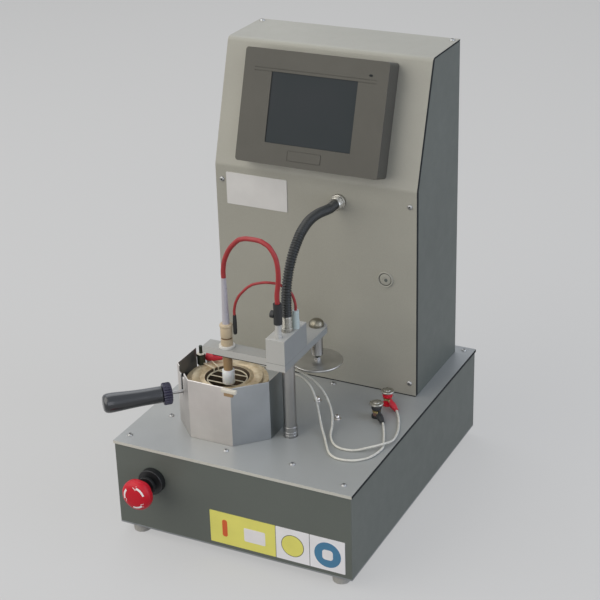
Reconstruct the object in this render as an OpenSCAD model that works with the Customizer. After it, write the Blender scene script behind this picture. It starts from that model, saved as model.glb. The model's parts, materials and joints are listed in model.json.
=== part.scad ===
// Bench flash point tester with an open cup, a swinging ignition head and a touch screen tower.
// Origin at the centre of the four feet on the bench, X to the right, Y to the back, Z up. Millimetres.

/* [Base] */
// Width of the base, side to side
base_w = 325; // [320:1:360]
// Depth of the base, front to back
base_d = 410; // [405:1:440]
// Height of the base body with its top plate
base_h = 119; // [112:1:128]
// Height of the feet
foot_h = 13; // [8:1:20]
// Diameter of a foot
foot_d = 24; // [18:1:30]
// Distance between the feet, side to side
foot_gap_x = 280; // [260:1:284]
// Distance between the feet, front to back
foot_gap_y = 376; // [350:1:376]
// Bore up through each foot
foot_bore = 5.5; // [4:0.1:8]
// Thickness of the sheet metal
sheet_t = 2; // [1.2:0.1:3]
// Thickness of the top plate
deck_t = 4; // [3:0.5:5]
// Overhang of the top plate past the walls
reveal = 1.2; // [0.5:0.1:2]

/* [Tower] */
// Width of the tower
tower_w = 280; // [250:1:300]
// Place of the tower's front face
tower_front = 47; // [44:1:52]
// Place of the tower's rear face
tower_rear = 187; // [182:1:195]
// Height of the upright part of the tower's front
tower_low = 282; // [275:1:295]
// Height of the sloping part of the front
tower_slope = 155; // [152:1:170]
// How far the sloping part leans back
tower_lean = 50; // [30:1:60]
// Outer radius of the fold between the upright and the sloping front
bend_r = 15; // [8:1:18]
// Outer radius of the fold at the top
fold_r = 7; // [4:1:8]
// Gap at the seam between the front sheet and the side panels
seam = 0.6; // [0.3:0.1:0.9]

/* [Screen] */
// Width of the screen's housing
hmi_w = 195; // [150:1:200]
// Height of the screen's housing
hmi_h = 142; // [120:1:146]
// How far the housing stands out
hmi_out = 29.2; // [20:0.1:34]
// Distance up the slope to the housing
hmi_up = 10.7; // [6:0.1:12]
// Width of the display
view_w = 117; // [100:1:125]
// Height of the display
view_h = 88; // [70:1:92]
// Depth of the housing inside the tower
hmi_in = 34; // [20:1:50]

/* [Shield] */
// Place of the shield's front face
shield_y = -159; // [-164:1:-157]
// Place of the shield's middle, side to side
shield_x = -48; // [-50:1:-46]
// Half width of the shield
shield_half = 64.5; // [63:0.5:66]
// Half width of the front face
shield_flat = 29.7; // [26:0.1:32]
// Depth of the two corner faces
shield_cut = 35; // [32:1:37]
// Height of the shield above the top plate
shield_h = 80; // [76:1:84]
// Length of the left side face
shield_left = 46; // [40:1:54]
// Length of the right side face
shield_right = 56; // [45:1:58]
// Thickness of the shield's sheet
shield_t = 1.5; // [1:0.1:2]
// Width of the handle slot
slot_w = 8; // [6.4:0.1:10]

/* [Cup and heater] */
// Place of the cup's axis, side to side
cup_x = -56; // [-57:0.5:-55]
// Place of the cup's axis, front to back
cup_y = -98.5; // [-99.5:0.5:-97.5]
// Height of the cup's rim above the top plate
rim_h = 60.5; // [58:0.5:61]
// Radius of the cup's bore
cup_r = 27.5; // [24:0.5:28]
// Wall of the cup
cup_wall = 3.5; // [2:0.1:4]
// Depth of the cup, outside
cup_h = 34; // [28:1:38]
// Radius of the cup's flange
flange_r = 45; // [42:0.5:45]
// Thickness of the flange
flange_t = 3; // [2:0.5:4]
// Radius of the heater block
heater_r = 52; // [50:0.5:54]
// Gap between the cup and the heater block
cup_gap = 1.3; // [0.5:0.1:2]
// Thickness of the heating plate under the block
hot_plate_t = 8; // [6:1:10]
// Thickness of the insulating plinth
plinth_t = 10; // [8:1:14]
// Length of the handle's grip
grip_len = 75; // [60:1:90]
// Largest diameter of the grip
grip_d = 25; // [20:0.5:28]
// Diameter of the handle's collar
collar_d = 28; // [22:0.5:30]
// Length of the collar
collar_len = 11; // [8:0.5:16]
// Diameter of the handle's rod
rod_d = 4.5; // [4:0.1:5]
// How far out along the handle the collar starts
rod_out = 72.4; // [68:0.1:80]

/* [Ignition head] */
// Place of the column's axis, side to side
col_x = 34; // [33:0.5:35]
// Place of the column's axis, front to back
col_y = -105; // [-106:0.5:-104]
// Diameter of the column
col_d = 16; // [14:0.5:18]
// Height of the head plate's underside above the top plate
head_up = 103.5; // [101:0.5:108]
// Thickness of the head plate
head_t = 9; // [7:0.5:10]
// Width of the head block
block_w = 25.2; // [22:0.1:26]
// Depth of the head block
block_d = 60; // [56:1:66]
// Height of the head block
block_h = 32; // [28:1:36]
// Width of the igniter arm
arm_w = 20; // [18:1:22]
// Distance from the column to the arm's end
arm_reach = 107; // [104:1:110]
// Place of the igniter from the column, side to side
ign_dx = -78; // [-80:0.5:-76]
// Place of the igniter from the column, front to back
ign_dy = -10.8; // [-12:0.1:-9]
// Gap between the igniter's tip and the cup's rim
tip_gap = 1.8; // [1:0.1:4]
// Diameter of the igniter's white sleeve
sleeve_d = 15.5; // [12:0.5:17]
// Length of the sleeve
sleeve_len = 19.2; // [14:0.1:24]
// Radius from the column to the cover disc
lid_reach = 85; // [83:1:90]
// Radius of the cover disc
lid_r = 33; // [30:0.5:34]
// Thickness of the cover disc
lid_t = 3; // [2:0.5:4]
// Gap between the cover disc and the height of the rim
lid_gap = 1.2; // [1:0.1:4]

/* [Lift drive] */
// Travel of the lift
lift_travel = 45; // [30:1:45]
// Height of the carriage above the bottom pan
carriage_up = 40; // [38:1:42]
// Thickness of the carriage
carriage_t = 8; // [6:1:9]
// Distance between the column and the swing motor
belt_gap = 45; // [42:1:50]
// Diameter of the column's pulley
pulley_d = 44; // [36:1:46]
// Diameter of the motor's pulley
pinion_d = 20; // [14:1:24]
// Diameter of the two guide rods
guide_d = 8; // [6:0.5:10]

/* [Controls and fittings] */
// Place of the stop button, side to side
stop_x = -108; // [-115:1:-100]
// Height of the stop button's axis
stop_z = 88; // [80:1:95]
// Diameter of the stop button's cap
stop_d = 40; // [32:1:42]
// Travel of the stop button
stop_travel = 5; // [3:0.5:6]
// Diameter of the black conduit over its ribs
conduit_d = 12; // [10:0.5:13]
// Bore of the black conduit
conduit_bore = 8; // [6:0.5:8.5]
// Number of ribs on the conduit
conduit_ribs = 76; // [20:1:110]
// Diameter of the thick red lead
thick_d = 6; // [5:0.5:7]
// Diameter of the thin red lead
thin_d = 3.4; // [2.5:0.1:3.8]
// Diameter of the two pale leads
pale_d = 3; // [2:0.1:3.2]
// Diameter of a screw head
screw_head_d = 7; // [5:0.5:9]
// Diameter of a screw's shank
screw_d = 4; // [3:0.5:4.5]

/* [Clearances] */
// Running clearance of a shaft in its bore
run_c = 0.05; // [0.02:0.01:0.09]
// Clearance between pieces that pass each other
pass_c = 0.4; // [0.3:0.05:1]

/* [Hidden] */
$fn = 48;

base_top = foot_h + base_h;
deck_z = base_top - deck_t;
pan_top = foot_h + sheet_t;
wall_w = base_w - 2 * reveal;
wall_d = base_d - 2 * reveal;
front_y = -wall_d / 2;
back_y = wall_d / 2;
tower_x = -1;
bend_z = base_top + tower_low;
tower_top = bend_z + tower_slope;
top_y = tower_front + tower_lean;
slope_a = atan(tower_lean / tower_slope);
rim_z = base_top + rim_h;
flange_z = rim_z - flange_t;
shield_z = base_top + shield_h;
hot_z = base_top + plinth_t;
block_z = hot_z + hot_plate_t;
rod_z = rim_z - 10.5;
handle_a = 223.1;
head_z = base_top + head_up;
head_top = head_z + head_t;
block_top = head_top + block_h;
ign_x = col_x + ign_dx;
ign_y = col_y + ign_dy;
tip_z = rim_z + tip_gap;
sleeve_z = tip_z + sleeve_len;
lid_x = col_x - 2.5;
lid_y = col_y + lid_reach;
lid_z = rim_z + lid_gap;
carriage_z = pan_top + carriage_up;
carriage_top = carriage_z + carriage_t;
belt_h = 10;
motor_y = col_y + belt_gap;
term_r = flange_r + 4.5;
term_a = [159.9, 145.2];
post_x = 113.5;
post_ys = [-21, 14];
fan_in = 66.3;
fan_x = wall_w / 2 - fan_in;
fan_z = 72;
inlet_in = 51.3;
inlet_x = -wall_w / 2 + inlet_in;
inlet_z = 60;
switch_step = 55;
switch_x = inlet_x + switch_step;

// Routes of the cords, as points along their middle lines
conduit_pts = [[34, 33, 387.5], [34, 21, 387.5], [34, 6, 390], [34, -12, 393], [34, -29, 394],
  [34, -37.7, 393.4], [34, -46, 392], [34, -60, 387], [34, -66.2, 383.3], [34, -72, 379],
  [34, -83, 369], [34, -92, 357], [34, -99, 343], [34, -103.5, 328], [34, -105, 310],
  [34, -105, 296.5]];
spark_pts = [[33, -126, 321], [33, -126, 333], [35, -126, 347], [35.5, -126, 363], [33, -126, 379],
  [25, -125, 391], [18, -124.3, 394.8], [10, -123.5, 397], [-6, -121.5, 396], [-13.8, -120.2, 393.8],
  [-21, -119, 390], [-33, -117.5, 377], [-41, -116.5, 361], [-44, -115.8, 347], [-44, -115.8, 337]];
probe_pts = [[40.5, -94, 300], [40.5, -94, 308], [36.5, -94, 320], [28, -95, 328],
  [22.7, -96.8, 330.9], [17, -99, 333], [5, -103.5, 334], [-8, -107, 331], [-13.3, -108.1, 327.9],
  [-18, -109, 324], [-26, -110.5, 315], [-29.1, -111.2, 309.6], [-31.5, -111.7, 304],
  [-33.5, -112.2, 294], [-33.5, -112.2, 288]];
black_pts = [[129, -37, 135.2], [137, -52, 133.7], [146, -73, 133.7], [152, -90, 133.7], [151, -105, 133.7],
  [145, -121, 133.7], [131, -133, 133.7], [113, -136, 133.7], [100, -130, 133.7], [89, -116, 133.7],
  [77, -97, 134.5], [67, -83.5, 138], [58, -71, 145], [49, -59, 154], [40, -50, 165], [30, -45, 175],
  [17, -44, 182], [0, -46, 184], [-20, -46, 184.5], [-40, -44, 185.5], [-60, -42.5, 187],
  [-82, -46, 190], [-98, -56, 193], [-107, -66, 196], [-107.5, -76, 197.5], [-105.5, -80.5, 197.5]];
red_pts = [[132.5, -1.5, 135.4], [140, -13, 134], [147, -28, 133.7], [154, -48, 133.7], [157, -70, 134.5],
  [153, -86, 137.3], [140, -100, 136.6], [125, -110, 134.2], [111, -113, 133.7], [99, -110, 133.7],
  [89, -101, 133.7], [81, -88, 134.5], [76, -73, 138], [69, -58, 145], [59, -46, 154], [47, -38, 164],
  [33, -34, 173], [17, -34, 181], [0, -37, 186], [-18, -42, 190], [-36, -48, 192.5], [-55, -57, 196],
  [-68, -63, 197.7], [-79.5, -66.5, 198]];
gland_x = conduit_pts[0][0];
gland_z = conduit_pts[0][2];
probe_end = probe_pts[len(probe_pts) - 1];

// Helpers
function unit(v) = v / norm(v);
function spline(a, b, c, d, t) = 0.5 * (2 * b + (c - a) * t
  + (2 * a - 5 * b + 4 * c - d) * t * t + (3 * b - a - 3 * c + d) * t * t * t);
function route(p, n) = [for (i = [0 : len(p) - 2]) for (j = [0 : n - 1])
  spline(p[max(i - 1, 0)], p[i], p[i + 1], p[min(i + 2, len(p) - 1)], j / n), p[len(p) - 1]];
function heading(p, q, i) = i == 0 ? unit(p[1] - p[0])
  : i == len(q) - 1 ? unit(p[len(p) - 1] - p[len(p) - 2])
  : unit(q[i + 1] - q[i - 1]);
function flatten(n, t) = unit(n - (n * t) * t);
function side_of(t) = abs(t[0]) < 0.8 ? flatten([1, 0, 0], t) : flatten([0, 1, 0], t);
function normals(p, q) = [for (i = 0, n = side_of(heading(p, q, 0)); i < len(q);
  i = i + 1, n = i < len(q) ? flatten(n, heading(p, q, i)) : n) n];
function ring(p, q, ns, i, r, sides) = let (u = ns[i], w = cross(heading(p, q, i), u))
  [for (k = [0 : sides - 1]) q[i] + r * (cos(360 * k / sides) * u + sin(360 * k / sides) * w)];
function skin(rings, sides, at, outward) = [for (i = [0 : rings - 2]) for (k = [0 : sides - 1])
  let (a = at + i * sides + k, b = at + i * sides + (k + 1) % sides, c = a + sides, d = b + sides)
  each (outward ? [[d, b, a], [c, d, a]] : [[b, d, a], [d, c, a]])];

// A plain cord along a list of points
module cord(p, r, per, sides) {
  q = route(p, per);
  ns = normals(p, q);
  m = len(q);
  verts = [for (i = [0 : m - 1]) each ring(p, q, ns, i, r, sides)];
  start = [for (k = [0 : sides - 1]) k];
  end = [for (k = [sides - 1 : -1 : 0]) (m - 1) * sides + k];
  polyhedron(points = verts, faces = concat(skin(m, sides, 0, true), [start, end]));
}

// Points at even distances along a path
function sums(q) = [for (i = 0, a = 0; i < len(q);
  a = a + (i + 1 < len(q) ? norm(q[i + 1] - q[i]) : 0), i = i + 1) a];
function at_length(q, s, d) = let (f = [for (i = [0 : len(q) - 2]) if (s[i] <= d && d < s[i + 1]) i])
  len(f) == 0 ? q[len(q) - 1] : q[f[0]] + (q[f[0] + 1] - q[f[0]]) * (d - s[f[0]]) / (s[f[0] + 1] - s[f[0]]);

// A ribbed hose with its bore along a list of points
module hose(p, r_out, r_low, r_in, ribs) {
  sides = 8;
  smooth = route(p, 8);
  s = sums(smooth);
  steps = 2 * ribs;
  every = 8;
  q = [for (i = [0 : steps]) at_length(smooth, s, s[len(s) - 1] * i / steps)];
  ns = normals(p, q);
  outer = [for (i = [0 : steps]) each ring(p, q, ns, i, i % 2 == 1 ? r_out : r_low, sides)];
  bores = ceil(steps / every);
  inner = [for (i = [0 : bores]) each ring(p, q, ns, min(i * every, steps), r_in, sides)];
  base = len(outer);
  far_o = steps * sides;
  far_i = base + bores * sides;
  near_end = [for (k = [0 : sides - 1]) let (n = (k + 1) % sides)
    each [[k, n, base + k], [n, base + n, base + k]]];
  far_end = [for (k = [0 : sides - 1]) let (n = (k + 1) % sides)
    each [[far_o + n, far_o + k, far_i + k], [far_i + n, far_o + n, far_i + k]]];
  polyhedron(points = concat(outer, inner),
    faces = concat(skin(steps + 1, sides, 0, true), skin(bores + 1, sides, base, false), near_end, far_end));
}

// A straight round bar between two points, with a radius at each end
module bar(a, b, r1, r2) {
  d = b - a;
  translate(a) rotate([0, acos(d[2] / norm(d)), atan2(d[1], d[0])]) cylinder(h = norm(d), r1 = r1, r2 = r2);
}

module disc_y(x, y, z, d, len) {
  translate([x, y, z]) rotate([-90, 0, 0]) cylinder(h = len, d = d);
}

module on_slope() {
  translate([tower_x, tower_front, bend_z]) rotate([-slope_a, 0, 0]) children();
}

// Points of a corner at p rounded to radius r, between the lines to a and to b
fold_steps = 6;
function rounded(a, p, b, r) = let (u = unit(a - p), v = unit(b - p), half = acos(u * v) / 2,
  mid = p + unit(u + v) * r / sin(half), start = p + u * r / tan(half) - mid, turn = 2 * half - 180)
  [for (i = [0 : fold_steps]) let (t = turn * i / fold_steps)
    mid + [start[0] * cos(t) - start[1] * sin(t), start[0] * sin(t) + start[1] * cos(t)]];
// Side view of the tower's front, slope and top at a depth o inside the sheet, without the rear
function tower_line(o) = let (low = [tower_front + o, base_top],
  bend = [tower_front + o, bend_z + o * tan(slope_a / 2)],
  fold = [top_y + o * tan(45 - slope_a / 2), tower_top - o], rear = [tower_rear, tower_top - o])
  concat([low], rounded(low, bend, fold, bend_r - o), rounded(bend, fold, rear, fold_r - o), [rear]);

// Base
module feet() {
  color([0.62, 0.61, 0.58])
  for (sx = [-1, 1], sy = [-1, 1])
    translate([sx * foot_gap_x / 2, sy * foot_gap_y / 2, 0]) difference() {
      cylinder(h = foot_h, d1 = foot_d - 2, d2 = foot_d);
      translate([0, 0, -1]) cylinder(h = foot_h + 2, d = foot_bore);
    }
}

vent_h = 3.4;
vent_w = 50;
vent_step = 11;
pan_vents = [70, 60];
module chassis_pan() {
  color([0.5, 0.52, 0.53])
  difference() {
    translate([-wall_w / 2, -wall_d / 2, foot_h]) cube([wall_w, wall_d, sheet_t]);
    for (sx = [-1, 1], sy = [-1, 1])
      translate([sx * foot_gap_x / 2, sy * foot_gap_y / 2, foot_h - 1])
        cylinder(h = sheet_t + 2, d = foot_bore);
    for (i = [0 : 5])
      translate([pan_vents[0], pan_vents[1] + vent_step * i, foot_h - 1])
        cube([vent_w, vent_h, sheet_t + 2]);
  }
}

module rear_cut(x, w, h) {
  translate([x - w / 2, back_y - sheet_t - 1, inlet_z - h / 2]) cube([w, sheet_t + 2, h]);
}

module base_shell() {
  color([0.33, 0.35, 0.34])
  difference() {
    translate([-wall_w / 2, -wall_d / 2, pan_top]) cube([wall_w, wall_d, deck_z - pan_top]);
    translate([-wall_w / 2 + sheet_t, -wall_d / 2 + sheet_t, pan_top - 1])
      cube([wall_w - 2 * sheet_t, wall_d - 2 * sheet_t, deck_z - pan_top + 2]);
    disc_y(stop_x, front_y - 1, stop_z, stop_neck_d, sheet_t + 2);
    disc_y(fan_x, back_y - sheet_t - 1, fan_z, fan_bore, sheet_t + 2);
    rear_cut(inlet_x, inlet_w, inlet_h);
    rear_cut(switch_x, switch_w, switch_h);
  }
}

// Screws of the top plate, as distances in from its edges or from the column
deck_x = base_w / 2;
deck_y = base_d / 2;
deck_spots = [[12.5 - deck_x, 20 - deck_y], [-21.5, 34 - deck_y], [67.5, 37.5 - deck_y],
  [deck_x - 18.5, 19 - deck_y], [35.5 - deck_x, -122], [col_x - 8.5, 38], [deck_x - 13.5, deck_y - 10]];
dome_spots = [[col_x + 36, col_y + 60], [col_x - 7, col_y + 93]];
well = [120, 60];
well_in = 40;

wire_bore = 16;
module top_plate() {
  color([0.66, 0.67, 0.65])
  difference() {
    translate([-base_w / 2, -base_d / 2, deck_z]) cube([base_w, base_d, deck_t]);
    translate([0, 0, deck_z - 1]) {
      translate([tower_x - well[0] / 2, tower_front + well_in, 0]) cube([well[0], well[1], deck_t + 2]);
      translate([col_x, col_y, 0]) cylinder(h = deck_t + 2, d = bushing_d);
      translate([cup_x, cup_y, 0]) cylinder(h = deck_t + 2, d = wire_bore);
      for (p = concat(deck_spots, dome_spots))
        translate([p[0], p[1], 0]) cylinder(h = deck_t + 2, d = screw_d);
      for (y = post_ys) translate([post_x, y, 0]) cylinder(h = deck_t + 2, d = post_neck_d);
    }
  }
}

screw_head_h = 2.2;
screw_head_in = 1.5;
screw_len = 10;
dome_h = 5.5;
module pan_screw() {
  cylinder(h = screw_head_h, d1 = screw_head_d, d2 = screw_head_d - screw_head_in);
  translate([0, 0, -screw_len]) cylinder(h = screw_len, d = screw_d);
}

screw_in = 9;
panel_in = [18, 20];
top_in = [7, 9];
screw_xs = [for (s = [-1, 1]) tower_x + s * (tower_w / 2 - screw_in)];
panel_spots = [for (x = screw_xs, z = [base_top + panel_in[0], bend_z - panel_in[1]]) [x, z]];
top_spots = [for (s = [-1, 1]) [tower_x + s * (tower_w / 2 - top_in[0]), tower_rear - top_in[1]]];
module case_screws() {
  color([0.75, 0.76, 0.78]) {
    for (p = concat(deck_spots, dome_spots)) translate([p[0], p[1], base_top]) pan_screw();
    for (p = dome_spots) translate([p[0], p[1], base_top + screw_head_h])
      cylinder(h = dome_h - screw_head_h, d1 = screw_head_d - screw_head_in, d2 = 2);
    for (p = panel_spots) translate([p[0], tower_front, p[1]]) rotate([90, 0, 0]) pan_screw();
    for (p = top_spots) translate([p[0], p[1], tower_top]) pan_screw();
  }
}

sign_t = 0.5;
sign_z = 20;
sign_h = 45;
sign_ws = [90.2, 45.2, 46.5];
sign_gap = 0.3;
sign_edge = 10;
sign_x = base_w / 2 - sign_edge - sign_ws[0] - sign_ws[1] - sign_ws[2] - 2 * sign_gap;
sign_xs = [sign_x, sign_x + sign_ws[0] + sign_gap, sign_x + sign_ws[0] + sign_ws[1] + 2 * sign_gap];
label = [87, 43.5];
label_t = 0.8;
label_in = [15.5, 9];
badge = [45, 12];
badge_in = [72.3, 8];
module blank_plates() {
  color([0.85, 0.84, 0.8]) {
    for (i = [0 : 2]) translate([sign_xs[i], front_y - sign_t, sign_z]) cube([sign_ws[i], sign_t, sign_h]);
    translate([tower_x - tower_w / 2 + label_in[0], tower_front - label_t, bend_z - label_in[1] - label[1]])
      cube([label[0], label_t, label[1]]);
    on_slope() translate([hmi_x + badge_in[0], -hmi_out - label_t, hmi_up + badge_in[1]])
      cube([badge[0], label_t, badge[1]]);
  }
}

// Stop button
stop_neck_d = 22;
stop_stem_d = 12;
stop_ring_t = 9;
stop_face = front_y - stop_ring_t;
stop_cap_t = 22;
stop_cap_y = stop_face - stop_travel - 11 - stop_cap_t;
stem_y = stop_cap_y + stop_cap_t - 6;

module stop_body() {
  color([0.1, 0.1, 0.11])
  difference() {
    union() {
      disc_y(stop_x, stop_face, stop_z, 34, stop_ring_t);
      disc_y(stop_x, front_y, stop_z, stop_neck_d, sheet_t + 4);
      disc_y(stop_x, front_y + sheet_t, stop_z, 30, 16);
    }
    disc_y(stop_x, stop_face - 1, stop_z, stop_stem_d + 2 * run_c, 40);
  }
}

module stop_stem() {
  color([0.2, 0.2, 0.22]) {
    disc_y(stop_x, stem_y, stop_z, stop_stem_d, front_y + sheet_t + 8 - stem_y);
    disc_y(stop_x, stop_face - stop_travel - 5, stop_z, 24, 4);
  }
}

module stop_cap() {
  color([0.78, 0.12, 0.18])
  translate([stop_x, stop_cap_y, stop_z]) rotate([-90, 0, 0]) difference() {
    rotate_extrude() polygon([[0, 0], [stop_d * 0.28, 0.6], [stop_d * 0.42, 2.4],
      [stop_d / 2, 6.5], [stop_d / 2, 12],
      [stop_d * 0.46, 14], [stop_d * 0.3, 17], [stop_d * 0.3, stop_cap_t], [0, stop_cap_t]]);
    translate([0, 0, stop_cap_t - 6 - run_c]) cylinder(h = 10, d = stop_stem_d + 2 * run_c);
  }
}

module stop_contacts() {
  color([0.75, 0.72, 0.35])
  difference() {
    translate([stop_x - 16, front_y + sheet_t + 16, stop_z - 20]) cube([32, 30, 40]);
    disc_y(stop_x, front_y + sheet_t + 15, stop_z, stop_stem_d + 2, 6);
  }
}

// Tower
module tower_sides() {
  color([0.32, 0.35, 0.37])
  for (x = [tower_x - tower_w / 2, tower_x + tower_w / 2 - sheet_t])
    translate([x, 0, 0]) rotate([90, 0, 90]) linear_extrude(sheet_t)
      polygon(concat(tower_line(sheet_t + seam), [[tower_rear, base_top]]));
}

module tower_sheet() {
  inner = tower_line(sheet_t);
  color([0.6, 0.59, 0.55])
  difference() {
    translate([tower_x - tower_w / 2, 0, 0]) rotate([90, 0, 90]) linear_extrude(tower_w)
      polygon(concat(tower_line(0), [for (i = [len(inner) - 1 : -1 : 0]) inner[i]]));
    disc_y(gland_x, tower_front - 1, gland_z, gland_neck_d, sheet_t + 2);
    disc_y(socket_x, tower_front - 1, socket_z, socket_neck_d, sheet_t + 2);
    on_slope() translate([hmi_x + hmi_lip, -1, hmi_up + hmi_lip])
      cube([hmi_w - 2 * hmi_lip, sheet_t + 4, hmi_h - 2 * hmi_lip]);
    for (p = panel_spots) disc_y(p[0], tower_front - 1, p[1], screw_d, sheet_t + 2);
    for (p = top_spots)
      translate([p[0], p[1], tower_top - sheet_t - 1]) cylinder(h = sheet_t + 2, d = screw_d);
  }
}

vent_up = 40;
vent_out = 20;
module tower_back() {
  color([0.45, 0.47, 0.48])
  difference() {
    translate([tower_x - tower_w / 2 + sheet_t, tower_rear - sheet_t, base_top])
      cube([tower_w - 2 * sheet_t, sheet_t, tower_top - sheet_t - seam - base_top]);
    for (i = [0 : 9], x = [tower_x - vent_out - vent_w, tower_x + vent_out])
      translate([x, tower_rear - sheet_t - 1, base_top + vent_up + vent_step * i])
        cube([vent_w, sheet_t + 2, vent_h]);
  }
}

socket_x = tower_x + tower_w / 2 - 42;
socket_z = bend_z - 122.6;
socket_d = 21.5;
socket_out = 2.5;
socket_neck_d = 17;
core_d = 15;
module panel_socket() {
  color([0.5, 0.5, 0.5])
  difference() {
    union() {
      disc_y(socket_x, tower_front - socket_out, socket_z, socket_d, socket_out);
      disc_y(socket_x, tower_front, socket_z, socket_neck_d, 18);
    }
    disc_y(socket_x, tower_front - socket_out - 1, socket_z, core_d, 2.4);
  }
  color([0.25, 0.25, 0.25]) disc_y(socket_x + 2.2, tower_front - socket_out - 0.5, socket_z - 2, 6, 2);
}

hmi_x = 0.2 - hmi_w / 2;
hmi_lip = 8;
hmi_wall = 4;
view_x = -view_w / 2;
view_up = 26.9;
view_z = hmi_up + view_up;
view_top = view_z + view_h;
groove_w = 1;
groove_gap = 4;
groove_in = 15;
lamp_x = 74.5;
lamp_up = 8.7;
module hmi_housing() {
  color([0.42, 0.41, 0.37])
  on_slope() difference() {
    union() {
      translate([hmi_x, -hmi_out, hmi_up]) cube([hmi_w, hmi_out, hmi_h]);
      translate([hmi_x + hmi_lip + pass_c, 0, hmi_up + hmi_lip + pass_c])
        cube([hmi_w - 2 * (hmi_lip + pass_c), hmi_in, hmi_h - 2 * (hmi_lip + pass_c)]);
    }
    translate([view_x, -hmi_out - 1, view_z]) cube([view_w, 3.2, view_h]);
    for (z = [view_top - groove_w, view_top + groove_gap - groove_w])
      translate([hmi_x + groove_in, -hmi_out - 1, z]) cube([hmi_w - 2 * groove_in, 1.8, groove_w]);
    translate([hmi_x + hmi_lip + hmi_wall, 6, hmi_up + hmi_lip + hmi_wall])
      cube([hmi_w - 2 * (hmi_lip + hmi_wall), hmi_in, hmi_h - 2 * (hmi_lip + hmi_wall)]);
  }
}

module hmi_display() {
  color([0.24, 0.27, 0.28])
  on_slope() {
    translate([view_x, -hmi_out + 0.9, view_z]) cube([view_w, 1.3, view_h]);
    translate([lamp_x, -hmi_out - 0.8, view_top + lamp_up]) rotate([-90, 0, 0]) cylinder(h = 0.8, d = 4);
  }
}

gland_neck_d = 16;
gland_out = 14;
module conduit_gland() {
  color([0.72, 0.72, 0.73])
  difference() {
    union() {
      disc_y(gland_x, tower_front - 4, gland_z, 20, 4);
      disc_y(gland_x, tower_front - gland_out, gland_z, 17, gland_out - 4);
      disc_y(gland_x, tower_front, gland_z, gland_neck_d, 12);
      disc_y(gland_x, tower_front + sheet_t, gland_z, 21, 5);
    }
    disc_y(gland_x, tower_front - gland_out - 1, gland_z, conduit_bore, gland_out + 14);
  }
}

module conduit() {
  color([0.13, 0.13, 0.13])
  hose(conduit_pts, conduit_d / 2, conduit_d / 2 - 1, conduit_bore / 2, conduit_ribs);
}

// Shield, heater and cup
function shield_line(o) = [
  [shield_x - shield_half + o, shield_y + shield_cut + shield_left],
  [shield_x - shield_half + o, shield_y + shield_cut + o * 0.42],
  [shield_x - shield_flat + o * 0.42, shield_y + o],
  [shield_x + shield_flat - o * 0.42, shield_y + o],
  [shield_x + shield_half - o, shield_y + shield_cut + o * 0.42],
  [shield_x + shield_half - o, shield_y + shield_cut + shield_right]];

module shield() {
  color([0.62, 0.61, 0.59])
  difference() {
    translate([0, 0, base_top]) linear_extrude(shield_h)
      polygon(concat(shield_line(0), [for (i = [5 : -1 : 0]) shield_line(shield_t)[i]]));
    translate([cup_x, cup_y, 0]) rotate([0, 0, handle_a]) {
      translate([45, -slot_w / 2, rod_z - 4]) cube([40, slot_w, 100]);
      translate([45, -11, shield_z - 8]) cube([40, 22, 30]);
    }
  }
}

module shield_clip() {
  cx = shield_x + shield_flat + 1;
  color([0.78, 0.75, 0.7]) {
    translate([cx - 11, shield_y - 5, shield_z - 4]) cube([20, 5, 4.5]);
    translate([cx - 8, shield_y - 4, shield_z - 9]) cube([12, 4, 5]);
  }
}

module plinth() {
  color([0.8, 0.78, 0.72])
  difference() {
    translate([cup_x, cup_y, base_top]) cylinder(h = plinth_t, r = heater_r - 4);
    translate([cup_x, cup_y, base_top - 1]) cylinder(h = plinth_t + 2, d = wire_bore);
  }
}

module hot_plate() {
  color([0.45, 0.42, 0.4])
  difference() {
    translate([cup_x, cup_y, hot_z]) cylinder(h = hot_plate_t, r = heater_r - 2);
    for (x = [-18, 0, 18])
      translate([cup_x + x, cup_y + 60, hot_z + hot_plate_t / 2]) rotate([90, 0, 0]) cylinder(h = 90, d = 5);
  }
}

boss_d = 7;
boss_out = 2;
module heater_block() {
  color([0.68, 0.65, 0.53])
  translate([cup_x, cup_y, block_z]) difference() {
    cylinder(h = flange_z - block_z, r = heater_r);
    translate([0, 0, -1]) cylinder(h = flange_z - block_z + 2, r = cup_r + cup_wall + cup_gap);
    rotate([0, 0, handle_a])
      translate([20, -boss_d / 2 - pass_c, rod_z - block_z - boss_d / 2 - pass_c])
        cube([50, boss_d + 2 * pass_c, 60]);
  }
}

module cup() {
  ro = cup_r + cup_wall;
  color([0.7, 0.66, 0.5]) {
    translate([cup_x, cup_y, rim_z - cup_h]) rotate_extrude() polygon([[0, 0], [ro - 2, 0], [ro, 2],
      [ro, cup_h - flange_t], [flange_r, cup_h - flange_t], [flange_r, cup_h - 0.5],
      [flange_r - 0.5, cup_h], [cup_r + 8, cup_h], [cup_r + 7.4, cup_h - 0.7], [cup_r + 5, cup_h - 0.7],
      [cup_r + 4.4, cup_h], [cup_r + 0.8, cup_h], [cup_r, cup_h - 0.8], [cup_r, cup_wall + 3],
      [cup_r - 3, cup_wall], [0, cup_wall]]);
    on_handle() translate([0, 0, cup_r + 1]) cylinder(h = cup_wall - 1 + boss_out, d = boss_d);
  }
}

module on_handle() {
  translate([cup_x, cup_y, rod_z]) rotate([0, 0, handle_a]) rotate([0, 90, 0]) children();
}

module handle_rod() {
  start = cup_r + cup_wall + boss_out;
  color([0.7, 0.7, 0.72]) on_handle() translate([0, 0, start]) cylinder(h = rod_out - start, d = rod_d);
}

module handle_collar() {
  color([0.22, 0.2, 0.25]) on_handle() translate([0, 0, rod_out]) rotate_extrude()
    polygon([[0, 0], [collar_d / 2 - 1, 0], [collar_d / 2, 1], [collar_d / 2, collar_len - 1],
      [collar_d / 2 - 1, collar_len], [0, collar_len]]);
}

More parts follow.
